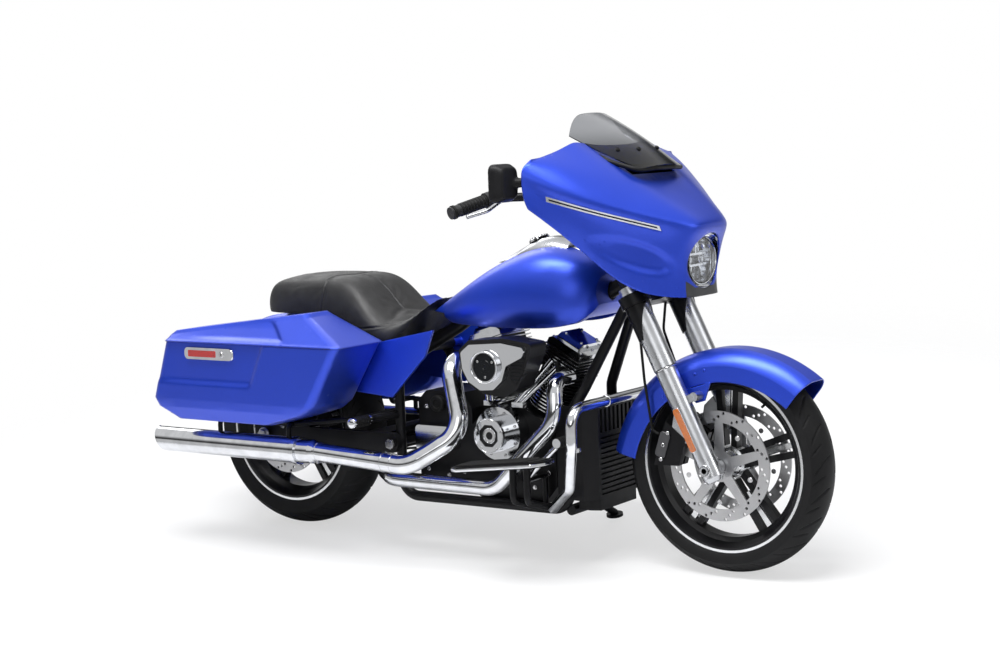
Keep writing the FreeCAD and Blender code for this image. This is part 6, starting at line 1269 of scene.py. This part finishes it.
def exhaust_details():
    """The mufflers' dark mouths, with bands and clamps on the mufflers and the front pipe."""
    dark, bands, screws = Shape(), Shape(), Shape()
    for side, _ in SIDES:
        out = MUFFLER_OUT * side
        dark.lathe((-300, out, MUFFLER_UP), AHEAD, [(0, 37.6), (34, 37.6), (34, 20), (4, 19), (4, 8)], 40)
        for forward, radius in ((262, 44.4), (340, 31.4)):
            bands.band((forward, out, MUFFLER_UP), AHEAD, radius - 1, radius, 0.8, 9.8, 56)
            low = MUFFLER_UP - radius - 2
            screws.rod((forward + 5, out - 9, low), (forward + 5, out + 9, low), 3.2, 0.6, 12)
        bands.ring((-346, out, 352), AHEAD, 3, 1)
    tree = tree_of("exhaust_right")
    for forward in (604, 640):
        place, _ = touch(tree, (forward, -MUFFLER_OUT, 700), -UP)
        if place is not None:
            bands.band((forward, -MUFFLER_OUT, place.z - 30.2), AHEAD, 30.2, 31.2, 0.6, 6.6, 48)
    dark.piece("muffler_cores", "black_metal", "root", "black_metal")
    bands.piece("exhaust_bands", "chrome", "root", "chrome")
    screws.piece("exhaust_clamps", "bolt_steel", "root", "silver_metal")


# Feet, guard, axles and tail
def foot_details():
    """Rims and ribbed rubbers on the footboards, pegs and pedals."""
    along, up = ray(7), ray(97)
    long, deep = 165, 55
    edge = [(0, 0), (231, 0), (330, 33), (330, 77), (297, 110), (33, 110), (0, 88)]
    for side, word in SIDES:
        corner = Vector((880, 262 * side, 292))
        out = LEFT * side

        def spot(a, b, c):
            return corner + along * a + out * b + up * c
        rim, rubber, sleeve, cap = Shape(), Shape(), Shape(), Shape()
        rim.slab([spot(a + (1.6 if a > long else -1.6), b + (1.6 if b > deep else -0.4), 3) for a, b in edge],
                 up * 9, 1.5)
        rubber.slab([spot(long + (a - long) * 0.94, deep + (b - deep) * 0.86, 15) for a, b in edge], up * 4, 1.2)
        for step in range(8):
            b = 16 + 11.4 * step
            cut = max(0, b - 80) * 1.2
            rubber.rod(spot(18 + cut, b, 19), spot(300 - abs(b - deep) * 0.8, b, 19), 2.6, 0.8, 10)
        rim.piece(f"footboard_{word}_rim", "chrome", f"footboard_{word}", "chrome")
        rubber.piece(f"footboard_{word}_rubber", "grip_rubber", f"footboard_{word}", "belt_rubber")
        for step in range(7):
            sleeve.band((500, (272 + 9.6 * step) * side, 415), out, 15.2, 17.2, 1, 7.6, 28)
        cap.dome((500, 346 * side, 415), out, 16.4, 8)
        sleeve.piece(f"passenger_peg_{word}_rubber", "grip_rubber", f"passenger_peg_{word}", "belt_rubber")
        cap.piece(f"passenger_peg_{word}_cap", "chrome", f"passenger_peg_{word}", "chrome")
    pads = Shape()
    for forward, side in ((1190, -1), (1190, 1), (880, 1)):
        for step in range(5):
            pads.band((forward, (206 + 9.4 * step) * side, 384), LEFT * side, 14.2, 16, 0.8, 6.8, 24)
    pads.piece("pedal_rubbers", "grip_rubber", "root", "belt_rubber")


def guard_and_axle_details():
    """Collars on the engine guard, and the nuts of the axles and pivots."""
    collars, nuts = Shape(), Shape()
    for side, _ in SIDES:
        for centre, way in (((1284, 300 * side, 380), UP), ((1284, 120 * side, 497), LEFT)):
            collars.band(Vector(centre) - way * 7, way, 16.2, 17.6, 0.8, 13.8, 32)
        nuts.rod((0, 198 * side, 327.5), (0, 203 * side, 327.5), 23, 1, 32)
        nuts.rod((0, 202 * side, 327.5), (0, 213 * side, 327.5), 18, 1, 6)
        nuts.ring((1625, 157.5 * side, 319.5), LEFT, 15.5, 2.2)
        nuts.rod((530, 198 * side, 330), (530, 207 * side, 330), 17, 1, 6)
        nuts.rod((84, 196 * side, 362), (84, 204 * side, 362), 9, 0.8, 6)
    collars.piece("guard_collars", "chrome", "root", "chrome")
    nuts.piece("axle_nuts", "bolt_steel", "root", "silver_metal")


def tail_details():
    """Chrome bezels round the tail lamps."""
    rims = Shape()
    way = ray(138)
    places = [upright(vertex.co) for vertex in frame["nodes"]["tail_lamps"].data.vertices]
    for side, _ in SIDES:
        mine = [place for place in places if place.y * side > 30]
        if mine:
            middle = sum(mine, Vector()) / len(mine)
            middle += way * (max(place.dot(way) for place in mine) - middle.dot(way))
            rims.ring(middle - way * 4, way, 25.4, 2.4)
            rims.ring(middle - way * 16, way, 25.0, 2.0)
    rims.piece("tail_lamp_rims", "chrome", "root", "chrome")


# Studio
def lay_floor():
    """A pale floor that keeps the shadow and fades into the white backdrop."""
    made, graph, shader = surface("pale_floor", Roughness=0.8)
    shape = bmesh.new()
    bmesh.ops.create_circle(shape, cap_ends=True, segments=96, radius=9)
    mesh = bpy.data.meshes.new("floor")
    shape.to_mesh(mesh)
    shape.free()
    floor = add_object("floor", mesh)
    here = graph.node("ShaderNodeTexCoord").outputs["Object"]
    away = graph.vector("LENGTH", here)
    wear = graph.noise(here, 3.0)
    graph.give(shader, Base_Color=graph.mix(wear, (0.84, 0.84, 0.85, 1), (0.88, 0.88, 0.88, 1)))
    rays = graph.node("ShaderNodeLightPath").outputs
    seen = graph.sum("MAXIMUM", rays["Is Camera Ray"], rays["Is Transmission Ray"])
    plain = graph.node("ShaderNodeEmission", {"Color": (1, 1, 1, 1), "Strength": 1.0})
    lift = graph.node("ShaderNodeMixShader", {0: graph.sum("MULTIPLY", seen, 0.6), 1: shader.outputs[0],
                                              2: plain.outputs[0]})
    through = graph.node("ShaderNodeBsdfTransparent")
    fade = graph.map(away, 1.7, 3.2, smooth=True)
    ends = graph.node("ShaderNodeMixShader", {0: fade, 1: lift.outputs[0], 2: through.outputs[0]})
    output = next(node for node in made.node_tree.nodes if node.type == "OUTPUT_MATERIAL")
    graph.put(output.inputs["Surface"], ends.outputs[0])
    mesh.materials.append(made)


def lamp(name, place, aim, width, height, watts):
    light = bpy.data.lights.new(name, "AREA")
    light.shape = "RECTANGLE"
    light.size = width
    light.size_y = height
    light.energy = watts
    made = add_object(name, light)
    made.location = place
    made.rotation_euler = (Vector(aim) - Vector(place)).to_track_quat("-Z", "Y").to_euler()


def sky():
    """White to the camera; shiny metal sees it pale, with a dark band a little above the horizon."""
    world = bpy.data.worlds.new("studio")
    bpy.context.scene.world = world
    world.use_nodes = True
    world.node_tree.nodes.clear()
    graph = Graph(world.node_tree)
    up = graph.apart(graph.node("ShaderNodeTexCoord").outputs["Generated"])[2]
    dome = graph.mix(graph.map(up, -0.1, 0.8), (0.04, 0.04, 0.042, 1), (0.4, 0.41, 0.43, 1))
    rays = graph.node("ShaderNodeLightPath").outputs
    seen = graph.sum("MAXIMUM", rays["Is Camera Ray"], rays["Is Transmission Ray"])
    ring = graph.sum("MAXIMUM", graph.map(up, 0.1, 0.18, 0.66, 0.06), graph.map(up, 0.3, 0.5, 0.06, 0.85))
    shiny = graph.mix(rays["Is Glossy Ray"], dome, graph.together(ring, ring, ring))
    shade = graph.mix(seen, shiny, (1.0, 1.0, 1.0, 1))
    background = graph.node("ShaderNodeBackground", {"Color": shade, "Strength": 1.0})
    output = graph.node("ShaderNodeOutputWorld")
    graph.put(output.inputs["Surface"], background.outputs[0])


def stand_camera():
    """The photograph's camera, fitted on the upright machine, leans with it."""
    azimuth, elevation, roll = (math.radians(angle) for angle in (35.217, 5.899, -2.034))
    target, distance = Vector((0.82617, 0, 0.69349)), 5.83099
    back = Vector((math.sin(azimuth) * math.cos(elevation), -math.cos(azimuth) * math.cos(elevation),
                   math.sin(elevation)))
    right = (-back).cross(UP).normalized()
    up = right.cross(-back)
    rolled_right = right * math.cos(roll) + up * math.sin(roll)
    rolled_up = up * math.cos(roll) - right * math.sin(roll)
    turn = Matrix((rolled_right, rolled_up, back)).transposed().to_4x4()
    data = bpy.data.cameras.new("camera")
    data.lens = 67.466
    data.sensor_width = 36
    data.clip_end = 300
    made = add_object("camera", data)
    made.matrix_world = LEANING @ Matrix.Translation(target + back * distance) @ turn
    bpy.context.scene.camera = made


for make in (panels, wheels, front_end, headlamp_details, fairing_details, screen_details, hand_details, instruments,
             tank_details, seat, bag_details, engine_details, air_cleaner_details, exhaust_details, foot_details,
             guard_and_axle_details, tail_details, lay_floor, sky, stand_camera):
    make()
lamp("top", (0.2, -0.9, 4.2), (0, 0, 0.6), 3.6, 1.6, 270)
lamp("near", (2.2, -4.5, 2.8), (0.2, 0, 0.6), 3, 1.6, 26)
lamp("front", (4.8, 0.8, 2.4), (0.3, 0, 0.7), 2, 2, 34)
lamp("behind", (-3.5, 2.5, 3.0), (0, 0, 0.6), 3, 2, 50)
bpy.context.scene.view_settings.view_transform = "Standard"
